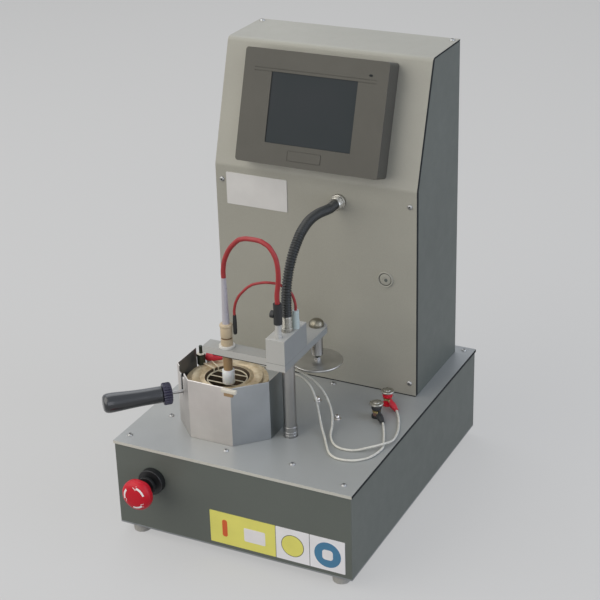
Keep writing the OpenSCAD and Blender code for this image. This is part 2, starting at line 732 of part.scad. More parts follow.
module handle_grip() {
  r = grip_d / 2;
  color([0.12, 0.13, 0.15]) on_handle() translate([0, 0, rod_out + collar_len]) rotate_extrude()
    polygon([[0, 0], [r - 2, 0], [r - 2, grip_len * 0.3], [r - 0.6, grip_len * 0.65], [r, grip_len * 0.85],
      [r - 0.8, grip_len - 4], [r - 3, grip_len - 1.2], [r - 6, grip_len], [0, grip_len]]);
}

grid_r = 25;
wire_r = 0.9;
grid_z = rim_z - 3.3;
feed_z = rim_z + 2.1;
module wire(len, r) {
  rotate([0, 90, 0]) cylinder(h = len, r = r, $fn = 8);
}

module detector_grid() {
  up_r = wire_r * 0.8;
  sink = wire_r * 0.4;
  color([0.8, 0.78, 0.74])
  translate([cup_x, cup_y, 0]) {
    translate([0, 0, grid_z]) rotate_extrude() translate([grid_r, 0]) circle(r = wire_r, $fn = 8);
    for (y = [-13.5, 0, 13.5])
      let (h = sqrt(grid_r * grid_r - y * y))
      translate([-h, y, grid_z]) wire(2 * h, wire_r * 0.85);
    for (a = term_a) rotate([0, 0, a]) {
      translate([grid_r, 0, grid_z - sink])
        rotate([0, 0, 11]) cylinder(h = feed_z - grid_z + 1.6 * sink, r = up_r, $fn = 8);
      translate([grid_r - 1.6 * wire_r, 0, feed_z])
        wire(term_r - nut_d / 2 + 0.1 - grid_r + 1.6 * wire_r, wire_r);
    }
  }
}

boot_r = 5.5;
boot_rise = 0.2;
bead_t = flange_t + pass_c;
bead_d = 8;
nut_d = 10.6;
nut_h = 10.5;
hex_d = 11.5;
hex_h = 3.5;
stud_d = 4.5;
stud_h = 10;
module terminals() {
  translate([cup_x, cup_y, flange_z]) {
    for (a = term_a) rotate([0, 0, a]) translate([term_r, 0, 0])
      color([0.85, 0.84, 0.8]) cylinder(h = bead_t, d = bead_d);
    rotate([0, 0, term_a[0]]) translate([term_r, 0, bead_t]) {
      color([0.13, 0.15, 0.13]) cylinder(h = nut_h, d = nut_d);
      color([0.2, 0.23, 0.2]) translate([0, 0, nut_h]) cylinder(h = hex_h, d = hex_d, $fn = 6);
      color([0.8, 0.8, 0.78]) translate([0, 0, nut_h + hex_h]) cylinder(h = 1, d = 2 * stud_d);
      color([0.3, 0.32, 0.3]) translate([0, 0, nut_h + hex_h + 1]) cylinder(h = stud_h, d = stud_d);
    }
  }
}

boot_z = flange_z + bead_t + boot_r + boot_rise;
boot_at = [cup_x + term_r * cos(term_a[1]), cup_y + term_r * sin(term_a[1]), boot_z];
module clip_boot() {
  d = unit([16.5, 3.2, -0.5]);
  color([0.72, 0.1, 0.16]) {
    bar(boot_at - 4 * d, boot_at + 6 * d, boot_r, boot_r);
    bar(boot_at + 6 * d, boot_at + 17.6 * d, boot_r, 2.2);
  }
}

module lead_black() {
  color([0.74, 0.74, 0.7]) cord(black_pts, pale_d / 2, 1, 8);
}

module lead_red() {
  color([0.74, 0.74, 0.7]) cord(red_pts, pale_d / 2, 1, 8);
}

// Binding posts
post_neck_d = 6;
post_h = 18;
cap_h = 8;
module posts() {
  for (y = post_ys) translate([post_x, y, 0]) {
    color([0.15, 0.15, 0.15]) translate([0, 0, base_top]) cylinder(h = 3, d = 13);
    color([0.75, 0.7, 0.5]) {
      translate([0, 0, base_top + 3]) cylinder(h = 5, d = 9);
      translate([0, 0, base_top + 3]) cylinder(h = post_h - 4, d = 4);
      translate([0, 0, deck_z - 8]) cylinder(h = deck_t + 8, d = post_neck_d);
      translate([0, 0, deck_z - 4]) cylinder(h = 4, d = 11, $fn = 6);
    }
  }
}

module post_cap(y) {
  translate([post_x, y, base_top + 11.5]) difference() {
    rotate_extrude() polygon([[0, 0], [6, 0], [6.5, 0.6], [6.5, cap_h - 1], [5.5, cap_h], [0, cap_h]]);
    translate([0, 0, -1]) cylinder(h = post_h - 4 + 3 - 11.5 + 1 + pass_c, d = 4 + 2 * run_c);
  }
}

module post_cap_black() {
  color([0.55, 0.55, 0.55]) post_cap(post_ys[0]);
}

module post_cap_red() {
  color([0.6, 0.55, 0.55]) post_cap(post_ys[1]);
}

module lead_sleeves() {
  for (i = [0, 1]) {
    to = i == 0 ? black_pts[0] : red_pts[0];
    p = [post_x, post_ys[i], base_top + 9.2];
    d = unit([to[0] - p[0], to[1] - p[1], 0]);
    color([0.75, 0.7, 0.5]) {
      translate([p[0], p[1], base_top + 8]) difference() {
        cylinder(h = 2.4, d = 11);
        translate([0, 0, -1]) cylinder(h = 5, d = 4.4);
      }
      bar(p + 4.5 * d, p + 8 * d, 1.1, 1.1);
    }
    color(i == 0 ? [0.1, 0.1, 0.1] : [0.7, 0.12, 0.15]) bar(p + 7 * d, to, 3, 2.6);
  }
}

// Column and head
bushing_d = 18.5;
bushing_up = 14;
bushing_flange = [36, 6];
ring_w = 2;
ring_in = 1.2;
ring_ups = [4, 9];
module bushing() {
  low = deck_z - bushing_flange[1];
  color([0.55, 0.55, 0.53])
  translate([col_x, col_y, 0]) difference() {
    union() {
      translate([0, 0, low]) cylinder(h = bushing_flange[1], d = bushing_flange[0]);
      translate([0, 0, low]) cylinder(h = base_top + bushing_up - low, d = bushing_d);
    }
    for (z = ring_ups) translate([0, 0, base_top + z]) difference() {
      cylinder(h = ring_w, d = bushing_d + 1);
      translate([0, 0, -1]) cylinder(h = ring_w + 2, d = bushing_d - ring_in);
    }
    translate([0, 0, low - 1]) cylinder(h = base_top + bushing_up - low + 2, d = col_d + 2 * run_c);
  }
}

collar_h = 6;
collar_step = 4.5;
module column() {
  color([0.6, 0.6, 0.6])
  translate([col_x, col_y, 0]) {
    translate([0, 0, carriage_z - pass_c - collar_h])
      cylinder(h = head_z - carriage_z + pass_c + collar_h, d = col_d);
    translate([0, 0, carriage_z - pass_c - collar_h]) cylinder(h = collar_h, d = col_d + 2 * collar_step);
  }
}

module column_pulley() {
  color([0.7, 0.7, 0.72])
  translate([col_x, col_y, carriage_top + pass_c]) difference() {
    union() {
      cylinder(h = belt_h + 1, d = pulley_d);
      cylinder(h = 0.8, d = pulley_d + 3.4);
    }
    translate([0, 0, -1]) cylinder(h = belt_h + 4, d = col_d);
  }
}

rear_w = 27;
block_in = 14;
block_fwd = 30.2;
pivot_d = 6;
module head_plate() {
  color([0.64, 0.64, 0.62])
  difference() {
    union() {
      translate([col_x - arm_reach, ign_y - arm_w / 2, head_z])
        cube([arm_reach + block_w - block_in, arm_w, head_t]);
      translate([col_x - block_in, col_y - block_fwd, head_z]) cube([block_w, block_d, head_t]);
      translate([lid_x - rear_w / 2, col_y, head_z]) cube([rear_w, lid_reach, head_t]);
      translate([lid_x, lid_y, head_z]) cylinder(h = head_t, d = rear_w);
    }
    translate([ign_x, ign_y, head_z - 1]) cylinder(h = head_t + 2, d = stem_d);
    translate([lid_x, lid_y, head_z - 1]) cylinder(h = head_t + 2, d = pivot_d);
  }
}

module head_block() {
  color([0.66, 0.66, 0.64])
  difference() {
    translate([col_x - block_in, col_y - block_fwd, head_top]) cube([block_w, block_d, block_h]);
    translate([col_x, col_y, head_top + 6]) cylinder(h = block_h, d = conduit_bore);
  }
}

stem_d = 11.5;
fitting_d = 16;
washer_t = 3;
fitting_z = head_top + washer_t;
body_r = 7.4;
groove_up = 8.8;
rim_deep = 4.2;
stem_sunk = 6;
fitting_h = 29;
tail_len = 26;
tail_d = 4.6;
tail = probe_end - [0, 0, tail_len];
module igniter_fitting() {
  translate([ign_x, ign_y, head_top]) {
    color([0.84, 0.83, 0.82]) difference() {
      cylinder(h = washer_t, d = 20);
      translate([0, 0, -1]) cylinder(h = 10, d = 10);
    }
  }
  color([0.74, 0.68, 0.56])
  translate([ign_x, ign_y, fitting_z]) difference() {
    rotate_extrude() polygon([[0, 0], [body_r, 0], [body_r, groove_up], [body_r - 1.1, groove_up + 0.5],
      [body_r - 1.1, groove_up + 1.7], [body_r, groove_up + 2.2], [body_r, fitting_h - rim_deep - 0.8],
      [fitting_d / 2, fitting_h - rim_deep], [fitting_d / 2, fitting_h - 1],
      [fitting_d / 2 - 1, fitting_h], [0, fitting_h]]);
    translate([0, 0, fitting_h - stem_sunk]) cylinder(h = 10, d = 10);
  }
  color([0.12, 0.12, 0.12]) {
    translate(tail) cylinder(h = tail_len, d = tail_d);
    bar([ign_x, ign_y, tail[2] + 4] + (body_r - 0.6) * unit([tail[0] - ign_x, tail[1] - ign_y, 0]),
      tail + [0, 0, 4], 1.4, 1.4);
  }
}

stem_top = spark_pts[len(spark_pts) - 1][2];
module igniter_stem() {
  z0 = fitting_z + fitting_h - stem_sunk;
  color([0.75, 0.75, 0.74])
  translate([ign_x, ign_y, z0]) cylinder(h = stem_top - z0, r1 = 4.7, r2 = thick_d / 2);
  color([0.62, 0.52, 0.38])
  translate([ign_x, ign_y, sleeve_z]) cylinder(h = head_top - sleeve_z, d = stem_d);
}

module igniter_sleeve() {
  r = sleeve_d / 2;
  color([0.88, 0.88, 0.88])
  translate([ign_x, ign_y, tip_z]) difference() {
    rotate_extrude() polygon([[0, 0], [r - 1.5, 0], [r - 0.4, 0.5], [r, 1.8],
      [r, sleeve_len - 1], [r - 1, sleeve_len], [0, sleeve_len]]);
    translate([0, 0, -1]) difference() {
      cylinder(h = 9, d = 9);
      cylinder(h = 9, d = 2.4);
    }
  }
}

spark_at = spark_pts[0];
pin_hex = [10, 4];
pin_neck = [7.5, 14];
spark_cap_d = 10.5;
lug_d = 9;
lug_down = 15;
module spark_boot() {
  cap_z = block_top + pin_hex[1] + pin_neck[1];
  translate([spark_at[0], spark_at[1], 0]) {
    color([0.72, 0.72, 0.7]) {
      translate([0, 0, block_top]) cylinder(h = pin_hex[1], d = pin_hex[0], $fn = 6);
      translate([0, 0, block_top + pin_hex[1]]) cylinder(h = pin_neck[1], d = pin_neck[0]);
    }
    color([0.1, 0.1, 0.11]) {
      translate([0, 0, cap_z]) cylinder(h = spark_at[2] - cap_z, d = spark_cap_d);
      translate([-lug_d, 0, spark_at[2] - lug_down]) rotate([0, 90, 0]) cylinder(h = lug_d - 4, d = lug_d);
    }
  }
}

module spark_lead() {
  color([0.62, 0.17, 0.18]) cord(spark_pts, thick_d / 2, 2, 10);
}

plug_at = probe_pts[0];
plug_ring = [9.2, 11];
plug_d = 8.4;
module probe_plug() {
  color([0.62, 0.68, 0.66])
  translate([plug_at[0], plug_at[1], block_top]) {
    cylinder(h = plug_ring[1], d = plug_ring[0]);
    translate([0, 0, plug_ring[1]]) cylinder(h = plug_at[2] - block_top - plug_ring[1], d = plug_d);
  }
}

module probe_lead() {
  color([0.6, 0.16, 0.18]) cord(probe_pts, thin_d / 2, 1, 8);
}

module conduit_nut() {
  h = conduit_pts[len(conduit_pts) - 1][2] - block_top;
  color([0.75, 0.75, 0.76])
  translate([col_x, col_y, block_top]) difference() {
    union() {
      cylinder(h = 6, d = 15, $fn = 6);
      translate([0, 0, 6]) cylinder(h = h - 6, d = 13);
      translate([0, 0, 11]) cylinder(h = 6, d = 14.4, $fn = 6);
    }
    translate([0, 0, -1]) cylinder(h = h + 2, d = conduit_bore);
  }
}

module lid_post() {
  color([0.6, 0.6, 0.6])
  translate([lid_x, lid_y, 0]) {
    translate([0, 0, lid_z + lid_t + 8]) cylinder(h = head_z - lid_z - lid_t - 8, d = 15);
    translate([0, 0, lid_z + lid_t + 4]) cylinder(h = 4, d = 5);
    translate([0, 0, head_z]) cylinder(h = head_t, d = pivot_d);
  }
  color([0.72, 0.68, 0.55])
  translate([lid_x, lid_y, head_top]) rotate_extrude()
    polygon([[0, 0], [9.5, 0], [9.5, 3], [8.6, 5.5], [6.5, 7.6], [3.5, 8.8], [0, 9.2]]);
}

module lid_disc() {
  color([0.66, 0.66, 0.66])
  translate([lid_x, lid_y, lid_z]) {
    rotate_extrude() polygon([[0, 0], [lid_r - 1, 0], [lid_r, 1],
      [lid_r, lid_t - 0.6], [lid_r - 0.6, lid_t], [0, lid_t]]);
    translate([0, 0, lid_t]) cylinder(h = 4, d = 9, $fn = 6);
  }
}

// Lift drive inside the base
rod_gap = 32;
rod_xs = [col_x - rod_gap, col_x + rod_gap];
carriage_edge = 10;
carriage_end = 22;
sleeve_h = 22;
sleeve_wall = 4;
motor_w = 42;
motor_h = 36;
motor_shaft_d = 5;
act_d = 30;
act_rod_d = 10;
act_x = col_x + rod_gap + act_d / 2 + 11;
act_h = lift_travel + 9;
act_floor = 3;
arm_z = pan_top + act_h + 4;
arm_t = 7;
arm_d = 20;
arm_post = 8;
module lift_carriage() {
  half = rod_gap + carriage_edge;
  color([0.68, 0.68, 0.7])
  difference() {
    union() {
      translate([col_x - half, col_y - carriage_end, carriage_z])
        cube([2 * half, belt_gap + 2 * carriage_end, carriage_t]);
      for (x = rod_xs)
        translate([x, motor_y, carriage_z]) cylinder(h = sleeve_h, d = guide_d + 2 * sleeve_wall);
      translate([col_x + rod_gap, col_y - arm_d / 2, carriage_z])
        cube([arm_post, arm_d, arm_z + arm_t - carriage_z]);
      translate([col_x + rod_gap, col_y - arm_d / 2, arm_z])
        cube([act_x + act_rod_d - 2 - col_x - rod_gap, arm_d, arm_t]);
    }
    translate([col_x, col_y, carriage_z - 1]) cylinder(h = carriage_t + 2, d = col_d + 2 * run_c);
    for (x = rod_xs)
      translate([x, motor_y, carriage_z - 1]) cylinder(h = sleeve_h + 2, d = guide_d + 2 * run_c);
    translate([col_x, motor_y, carriage_z - 1]) cylinder(h = carriage_t + 2, d = motor_shaft_d + 2 * run_c);
  }
  color([0.15, 0.15, 0.16])
  difference() {
    translate([col_x - motor_w / 2, motor_y - motor_w / 2, carriage_z - motor_h])
      cube([motor_w, motor_w, motor_h]);
    translate([col_x, motor_y, carriage_z - 20]) cylinder(h = 30, d = motor_shaft_d + 2 * run_c);
  }
  color([0.65, 0.65, 0.66])
  translate([act_x, col_y, pan_top + act_floor + 1])
    cylinder(h = arm_z - pan_top - act_floor - 1, d = act_rod_d);
}

belt_c = 0.4;
module belt_line(c) {
  hull() {
    translate([col_x, col_y]) circle(d = pulley_d + 2 * c, $fn = 64);
    translate([col_x, motor_y]) circle(d = pinion_d + 2 * c, $fn = 64);
  }
}

module drive_belt() {
  color([0.15, 0.15, 0.15])
  translate([0, 0, carriage_top + pass_c + 0.8 + pass_c]) linear_extrude(belt_h - 2) difference() {
    belt_line(belt_c + 1.6);
    belt_line(belt_c);
  }
}

module motor_pulley() {
  color([0.7, 0.7, 0.72])
  translate([col_x, motor_y, carriage_top + pass_c]) {
    cylinder(h = belt_h + 1, d = pinion_d);
    cylinder(h = 0.8, d = pinion_d + 3.4);
    translate([0, 0, -carriage_t - 16]) cylinder(h = carriage_t + 17, d = motor_shaft_d);
  }
}

module lift_actuator() {
  color([0.3, 0.32, 0.34])
  difference() {
    translate([act_x, col_y, pan_top]) cylinder(h = act_h, d = act_d);
    translate([act_x, col_y, pan_top + act_floor]) cylinder(h = act_h, d = act_rod_d + 2 * run_c);
  }
  color([0.75, 0.75, 0.76])
  for (x = rod_xs) translate([x, motor_y, pan_top]) cylinder(h = deck_z - pan_top, d = guide_d);
}

// Power and rear fittings
supply = [98, 150, 38];
spark_unit = [45, 60, 30];
unit_side = 20;
unit_gap = 10;
spark_unit_y = -10;
module power_units() {
  color([0.6, 0.61, 0.6])
  translate([-wall_w / 2 + sheet_t + unit_side, back_y - inlet_deep - unit_gap - supply[1], pan_top])
    cube(supply);
  color([0.25, 0.26, 0.28])
  translate([wall_w / 2 - sheet_t - unit_side - spark_unit[0], spark_unit_y, pan_top]) cube(spark_unit);
}

fan_bore = 56;
fan_size = 60;
fan_deep = 25;
inlet_w = 27;
inlet_h = 20;
inlet_deep = 24;
inlet_plate = [50, 3, 30];
plug_hole = [23, 14, 15];
switch_w = 20;
switch_h = 26;
switch_deep = 20;
switch_plate = [26, 2, 32];
module mains_inlet() {
  color([0.1, 0.1, 0.11]) {
    difference() {
      union() {
        translate([inlet_x - inlet_plate[0] / 2, back_y, inlet_z - inlet_plate[2] / 2]) cube(inlet_plate);
        translate([inlet_x - inlet_w / 2, back_y - inlet_deep, inlet_z - inlet_h / 2])
          cube([inlet_w, inlet_deep, inlet_h]);
      }
      translate([inlet_x - plug_hole[0] / 2, back_y - plug_hole[1], inlet_z - plug_hole[2] / 2])
        cube(plug_hole + [0, inlet_plate[1] + 1, 0]);
    }
    difference() {
      union() {
        translate([switch_x - switch_plate[0] / 2, back_y, inlet_z - switch_plate[2] / 2])
          cube(switch_plate);
        translate([switch_x - switch_w / 2, back_y - switch_deep, inlet_z - switch_h / 2])
          cube([switch_w, switch_deep, switch_h]);
      }
      translate([switch_x - rocker_w / 2 - pass_c, back_y - 12, inlet_z - 11])
        cube([rocker_w + 2 * pass_c, 20, 22]);
      on_rocker() cylinder(h = rocker_w + 4, d = 3 + 2 * run_c, center = true);
    }
  }
}

rocker_w = 14;
rocker_tilt = 9;
module on_rocker() {
  translate([switch_x, back_y - 4, inlet_z]) rotate([90, 0, 90]) children();
}

module rocker() {
  color([0.14, 0.14, 0.15]) on_rocker() {
    rotate([0, 0, -rocker_tilt]) linear_extrude(rocker_w, center = true)
      polygon([[-1.5, -4], [4, -9.4], [7, -9.4], [6, 0], [7, 9.4], [4, 9.4], [-1.5, 4]]);
    cylinder(h = rocker_w + 3.4, d = 3, center = true);
  }
}

module fan_frame() {
  hub_y = back_y - sheet_t - fan_deep;
  color([0.1, 0.1, 0.11])
  difference() {
    union() {
      difference() {
        translate([fan_x - fan_size / 2, hub_y, fan_z - fan_size / 2]) cube([fan_size, fan_deep, fan_size]);
        disc_y(fan_x, hub_y - 1, fan_z, fan_bore, fan_deep + 2);
      }
      for (a = [45, 135]) translate([fan_x, hub_y + 1.5, fan_z]) rotate([0, a, 0])
        cube([fan_bore + 6, 3, 4], center = true);
      disc_y(fan_x, hub_y, fan_z, 12, 3);
    }
    disc_y(fan_x, hub_y - 1, fan_z, 3 + 2 * run_c, 6);
  }
  color([0.7, 0.7, 0.7]) {
    for (r = [10, 18, 26]) translate([fan_x, back_y, fan_z]) rotate([-90, 0, 0]) difference() {
      cylinder(h = 2, r = r + 1);
      translate([0, 0, -1]) cylinder(h = 4, r = r - 1);
    }
    for (a = [0, 90]) translate([fan_x, back_y + 1, fan_z]) rotate([0, a, 0])
      cube([66, 2, 2], center = true);
  }
}

module fan_rotor() {
  color([0.12, 0.12, 0.13])
  translate([fan_x, back_y - sheet_t - fan_deep / 2, fan_z]) rotate([90, 0, 0]) {
    cylinder(h = 15, d = 22, center = true);
    cylinder(h = fan_deep / 2, d = 3);
    for (i = [0 : 6]) rotate([0, 0, i * 360 / 7]) translate([9, 0, 0]) rotate([38, 0, 0])
      translate([0, -8, -0.75]) cube([17, 16, 1.5]);
  }
}

feet();
chassis_pan();
base_shell();
top_plate();
case_screws();
blank_plates();
stop_body();
stop_stem();
stop_cap();
stop_contacts();
tower_sides();
tower_sheet();
tower_back();
panel_socket();
hmi_housing();
hmi_display();
conduit_gland();
conduit();
shield();
shield_clip();
plinth();
hot_plate();
heater_block();
cup();
handle_rod();
handle_collar();
handle_grip();
detector_grid();
terminals();
clip_boot();
lead_black();
lead_red();
posts();
post_cap_black();
post_cap_red();
lead_sleeves();
bushing();
column();
column_pulley();
head_plate();
head_block();
igniter_fitting();
igniter_stem();
igniter_sleeve();
spark_boot();
spark_lead();
probe_plug();
probe_lead();
conduit_nut();
lid_post();
lid_disc();
lift_carriage();
drive_belt();
motor_pulley();
lift_actuator();
power_units();
mains_inlet();
rocker();
fan_frame();
fan_rotor();
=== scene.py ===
"""The looks of the bench flash point tester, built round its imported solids, in their frame."""
import json
import math

import bmesh
import bpy
from mathutils import Matrix, Vector


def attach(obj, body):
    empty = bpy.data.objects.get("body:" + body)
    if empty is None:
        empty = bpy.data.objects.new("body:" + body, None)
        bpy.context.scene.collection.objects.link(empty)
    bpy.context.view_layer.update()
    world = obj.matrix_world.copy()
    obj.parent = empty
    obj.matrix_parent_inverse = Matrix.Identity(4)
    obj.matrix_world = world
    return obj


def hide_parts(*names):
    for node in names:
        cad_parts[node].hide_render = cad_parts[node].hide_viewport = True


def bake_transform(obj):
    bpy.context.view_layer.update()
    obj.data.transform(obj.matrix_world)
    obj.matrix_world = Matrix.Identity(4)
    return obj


MM = 0.001
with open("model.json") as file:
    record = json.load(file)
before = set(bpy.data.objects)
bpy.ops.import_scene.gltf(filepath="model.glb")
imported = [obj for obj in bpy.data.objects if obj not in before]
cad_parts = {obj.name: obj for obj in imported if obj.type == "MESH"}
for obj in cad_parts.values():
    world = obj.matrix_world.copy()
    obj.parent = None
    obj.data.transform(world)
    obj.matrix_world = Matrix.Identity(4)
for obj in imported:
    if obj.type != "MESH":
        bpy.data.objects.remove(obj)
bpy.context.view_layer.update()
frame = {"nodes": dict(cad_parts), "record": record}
record = frame["record"]
BODY_OF = {node: body for body, nodes in record["behaviour"]["bodies"].items() for node in nodes}
SLOT_OF = {part["node"]: part["material_slot"] for part in record["subparts"]}

# Places and sizes shared with the solids, in millimetres
CUP = (-56, -98.5)
COLUMN = (34, -105)
IGNITER = (-44, -115.8)
RIM_Z = 192.5
ROD_Z = 182
HANDLE_ANGLE = 223.1
COLLAR_START = 72.4
COLLAR_LEN = 11
STOP = (-108, 88)
STOP_CAP_Y = -250.8
FRONT_Y = -203.8
TOWER_FRONT = 47
TOWER_X = -1
TOWER_TOP = 569
DECK_Z = 132
BEND_Z = 414
SLOPE = math.atan(50 / 155)
HEAD_TOP = 244.5
ARM_BOTTOM = 234.3
NUT_Z = 276.5
SOCKET = (97, 291.4)
POST_X = 113.5
POST_CAP_Z = 143.5
POST_HOLE_Z = 141.2
HMI_X = -97.3
HMI_UP = 10.7
HMI_W = 195
HMI_H = 142
HMI_OUT = 29.2
VIEW = (-58.5, 37.6, 117, 88)
UPWARD = (0, 0, 1)
FORWARD = (0, -1, 0)


def millimetres(*values):
    """A point given in mm, in metres."""
    return Vector(values) * MM


# Camera

CAMERA_AT = (0.82032, -1.61872, 1.11587)
YAW, PITCH, ROLL = -0.4694, -0.4383, -0.0297
LENS = 94.85
SENSOR = 36


def add_camera():
    forward = Vector((math.sin(YAW) * math.cos(PITCH), math.cos(YAW) * math.cos(PITCH), math.sin(PITCH)))
    right0 = Vector((math.cos(YAW), -math.sin(YAW), 0))
    up0 = right0.cross(forward)
    right = math.cos(ROLL) * right0 + math.sin(ROLL) * up0
    up = math.cos(ROLL) * up0 - math.sin(ROLL) * right0
    data = bpy.data.cameras.new("camera")
    data.lens = LENS
    data.sensor_width = SENSOR
    camera = bpy.data.objects.new("camera", data)
    turn = Matrix((right, up, -forward)).transposed().to_4x4()
    camera.matrix_world = Matrix.Translation(CAMERA_AT) @ turn
    bpy.context.scene.collection.objects.link(camera)
    bpy.context.scene.camera = camera


add_camera()


# Materials

def srgb(r, g, b):
    """A colour as it looks on a screen, 0 to 255, turned into the linear one that shaders take."""
    def linear(c):
        c /= 255
        return c / 12.92 if c <= 0.04045 else ((c + 0.055) / 1.055) ** 2.4
    return (linear(r), linear(g), linear(b), 1)


def shade(colour, factor):
    """The same colour, lighter or darker."""
    return tuple(min(1, c * factor) for c in colour[:3]) + (1,)


class Finish:
    """A material with its shader, and short calls that wire textures into it.

    Where a call gives a socket, its underscores stand for spaces."""

    def __init__(self, name, colour, rough, metal=0.0, **sockets):
        self.material = bpy.data.materials.new(name)
        self.material.use_nodes = True
        self.material.diffuse_color = colour
        self.tree = self.material.node_tree
        self.bsdf = self.tree.nodes["Principled BSDF"]
        self.bsdf.inputs["Base Color"].default_value = colour
        self.bsdf.inputs["Roughness"].default_value = rough
        self.bsdf.inputs["Metallic"].default_value = metal
        for socket, value in sockets.items():
            self.bsdf.inputs[socket.replace("_", " ")].default_value = value
        self.place = self.node("ShaderNodeTexCoord").outputs["Object"]
        self.normal = None

    def node(self, kind, **settings):
        made = self.tree.nodes.new(kind)
        for key, value in settings.items():
            setattr(made, key, value)
        return made

    def link(self, a, b):
        self.tree.links.new(a, b)

    def noise(self, scale, detail=3.0, stretch=(1, 1, 1), roughness=0.5):
        mapping = self.node("ShaderNodeMapping")
        mapping.inputs["Scale"].default_value = stretch
        self.link(self.place, mapping.inputs["Vector"])
        made = self.node("ShaderNodeTexNoise")
        made.inputs["Scale"].default_value = scale
        made.inputs["Detail"].default_value = detail
        made.inputs["Roughness"].default_value = roughness
        self.link(mapping.outputs["Vector"], made.inputs["Vector"])
        return made.outputs["Fac"]

    def ramp(self, value, stops):
        made = self.node("ShaderNodeValToRGB")
        elements = made.color_ramp.elements
        while len(elements) < len(stops):
            elements.new(0.5)
        for element, (at, colour) in zip(elements, stops):
            element.position = at
            element.color = colour
        self.link(value, made.inputs["Fac"])
        return made.outputs["Color"]

    def mix(self, factor, a, b, kind="MIX"):
        made = self.node("ShaderNodeMix", data_type="RGBA", blend_type=kind)
        for socket, value in ((made.inputs[0], factor), (made.inputs[6], a), (made.inputs[7], b)):
            if isinstance(value, (tuple, list, float, int)):
                socket.default_value = value
            else:
                self.link(value, socket)
        return made.outputs[2]

    def spread(self, value, low, high):
        made = self.node("ShaderNodeMapRange")
        made.inputs["To Min"].default_value = low
        made.inputs["To Max"].default_value = high
        self.link(value, made.inputs["Value"])
        return made.outputs["Result"]

    def colour(self, socket):
        self.link(socket, self.bsdf.inputs["Base Color"])

    def rough(self, value, low, high):
        self.link(self.spread(value, low, high), self.bsdf.inputs["Roughness"])

    def bump(self, height, strength, distance):
        made = self.node("ShaderNodeBump")
        made.inputs["Strength"].default_value = strength
        made.inputs["Distance"].default_value = distance
        self.link(height, made.inputs["Height"])
        if self.normal:
            self.link(self.normal, made.inputs["Normal"])
        self.normal = made.outputs["Normal"]
        self.link(self.normal, self.bsdf.inputs["Normal"])


def powder_paint(name, colour, rough=0.42, grain=1.0, **sockets):
    """Fine-textured enamel: an orange-peel grain, soft cloudiness and a little grime."""
    f = Finish(name, colour, rough, **sockets)
    cloud = f.noise(7, 4)
    tint = f.ramp(cloud, [(0.3, shade(colour, 0.94)), (0.7, shade(colour, 1.05))])
    speck = f.ramp(f.noise(1500, 2), [(0.42, (0.94, 0.94, 0.94, 1)), (0.6, (1, 1, 1, 1))])
    f.colour(f.mix(1.0, tint, speck, "MULTIPLY"))
    f.rough(f.noise(60, 3), rough - 0.05, rough + 0.1)
    f.bump(f.noise(1300, 2), 0.25 * grain, 0.00012)
    f.bump(f.noise(260, 2), 0.12 * grain, 0.0002)
    return f.material


def brushed(name, colour, rough=0.32, along="z", strength=0.2):
    """Brushed or ground steel, with its grain along one axis."""
    stretch = {"x": (0.02, 1, 1), "y": (1, 0.02, 1), "z": (1, 1, 0.02)}[along]
    f = Finish(name, colour, rough, 1.0)
    grain = f.noise(1400, 4, stretch)
    cloud = f.noise(18, 4)
    f.colour(f.ramp(cloud, [(0.3, shade(colour, 0.86)), (0.72, shade(colour, 1.06))]))
    f.rough(grain, rough - 0.08, rough + 0.14)
    f.bump(grain, strength, 0.00005)
    return f.material


def turned(name, colour, rough, centre):
    """Metal turned on a lathe: fine rings round a centre."""
    f = Finish(name, colour, rough, 1.0)
    mapping = f.node("ShaderNodeMapping")
    mapping.inputs["Location"].default_value = (-centre[0] * MM, -centre[1] * MM, 0)
    f.link(f.place, mapping.inputs["Vector"])
    rings = f.node("ShaderNodeTexWave", wave_type="RINGS", rings_direction="Z")
    rings.inputs["Scale"].default_value = 420
    rings.inputs["Distortion"].default_value = 0.6
    f.link(mapping.outputs["Vector"], rings.inputs["Vector"])
    f.colour(f.ramp(f.noise(40, 4), [(0.3, shade(colour, 0.85)), (0.7, shade(colour, 1.08))]))
    f.rough(f.noise(120, 3), rough - 0.05, rough + 0.12)
    f.bump(rings.outputs["Fac"], 0.12, 0.00006)
    return f.material


def plated(name, colour, rough=0.16):
    """Nickel or chrome plate, with faint smears."""
    f = Finish(name, colour, rough, 1.0)
    f.colour(f.ramp(f.noise(90, 4), [(0.3, shade(colour, 0.84)), (0.7, shade(colour, 1.06))]))
    f.rough(f.noise(240, 3), rough - 0.06, rough + 0.16)
    f.bump(f.noise(700, 2), 0.05, 0.00005)
    return f.material


def moulded(name, colour, rough=0.45, grain=900, strength=0.2, **sockets):
    """Moulded plastic with a fine spark-eroded grain."""
    f = Finish(name, colour, rough, **sockets)
    f.colour(f.ramp(f.noise(14, 3), [(0.3, shade(colour, 0.93)), (0.7, shade(colour, 1.06))]))
    f.rough(f.noise(160, 3), rough - 0.05, rough + 0.08)
    f.bump(f.noise(grain, 2), strength, 0.0001)
    return f.material


def rubbery(name, colour, rough=0.55, **sockets):
    """Silicone or rubber: soft sheen with a light dusting."""
    f = Finish(name, colour, rough, **sockets)
    dust = f.noise(220, 5)
    f.colour(f.ramp(dust, [(0.35, shade(colour, 0.9)), (0.75, shade(colour, 1.12))]))
    f.rough(f.noise(300, 3), rough - 0.08, rough + 0.12)
    f.bump(dust, 0.12, 0.00008)
    return f.material


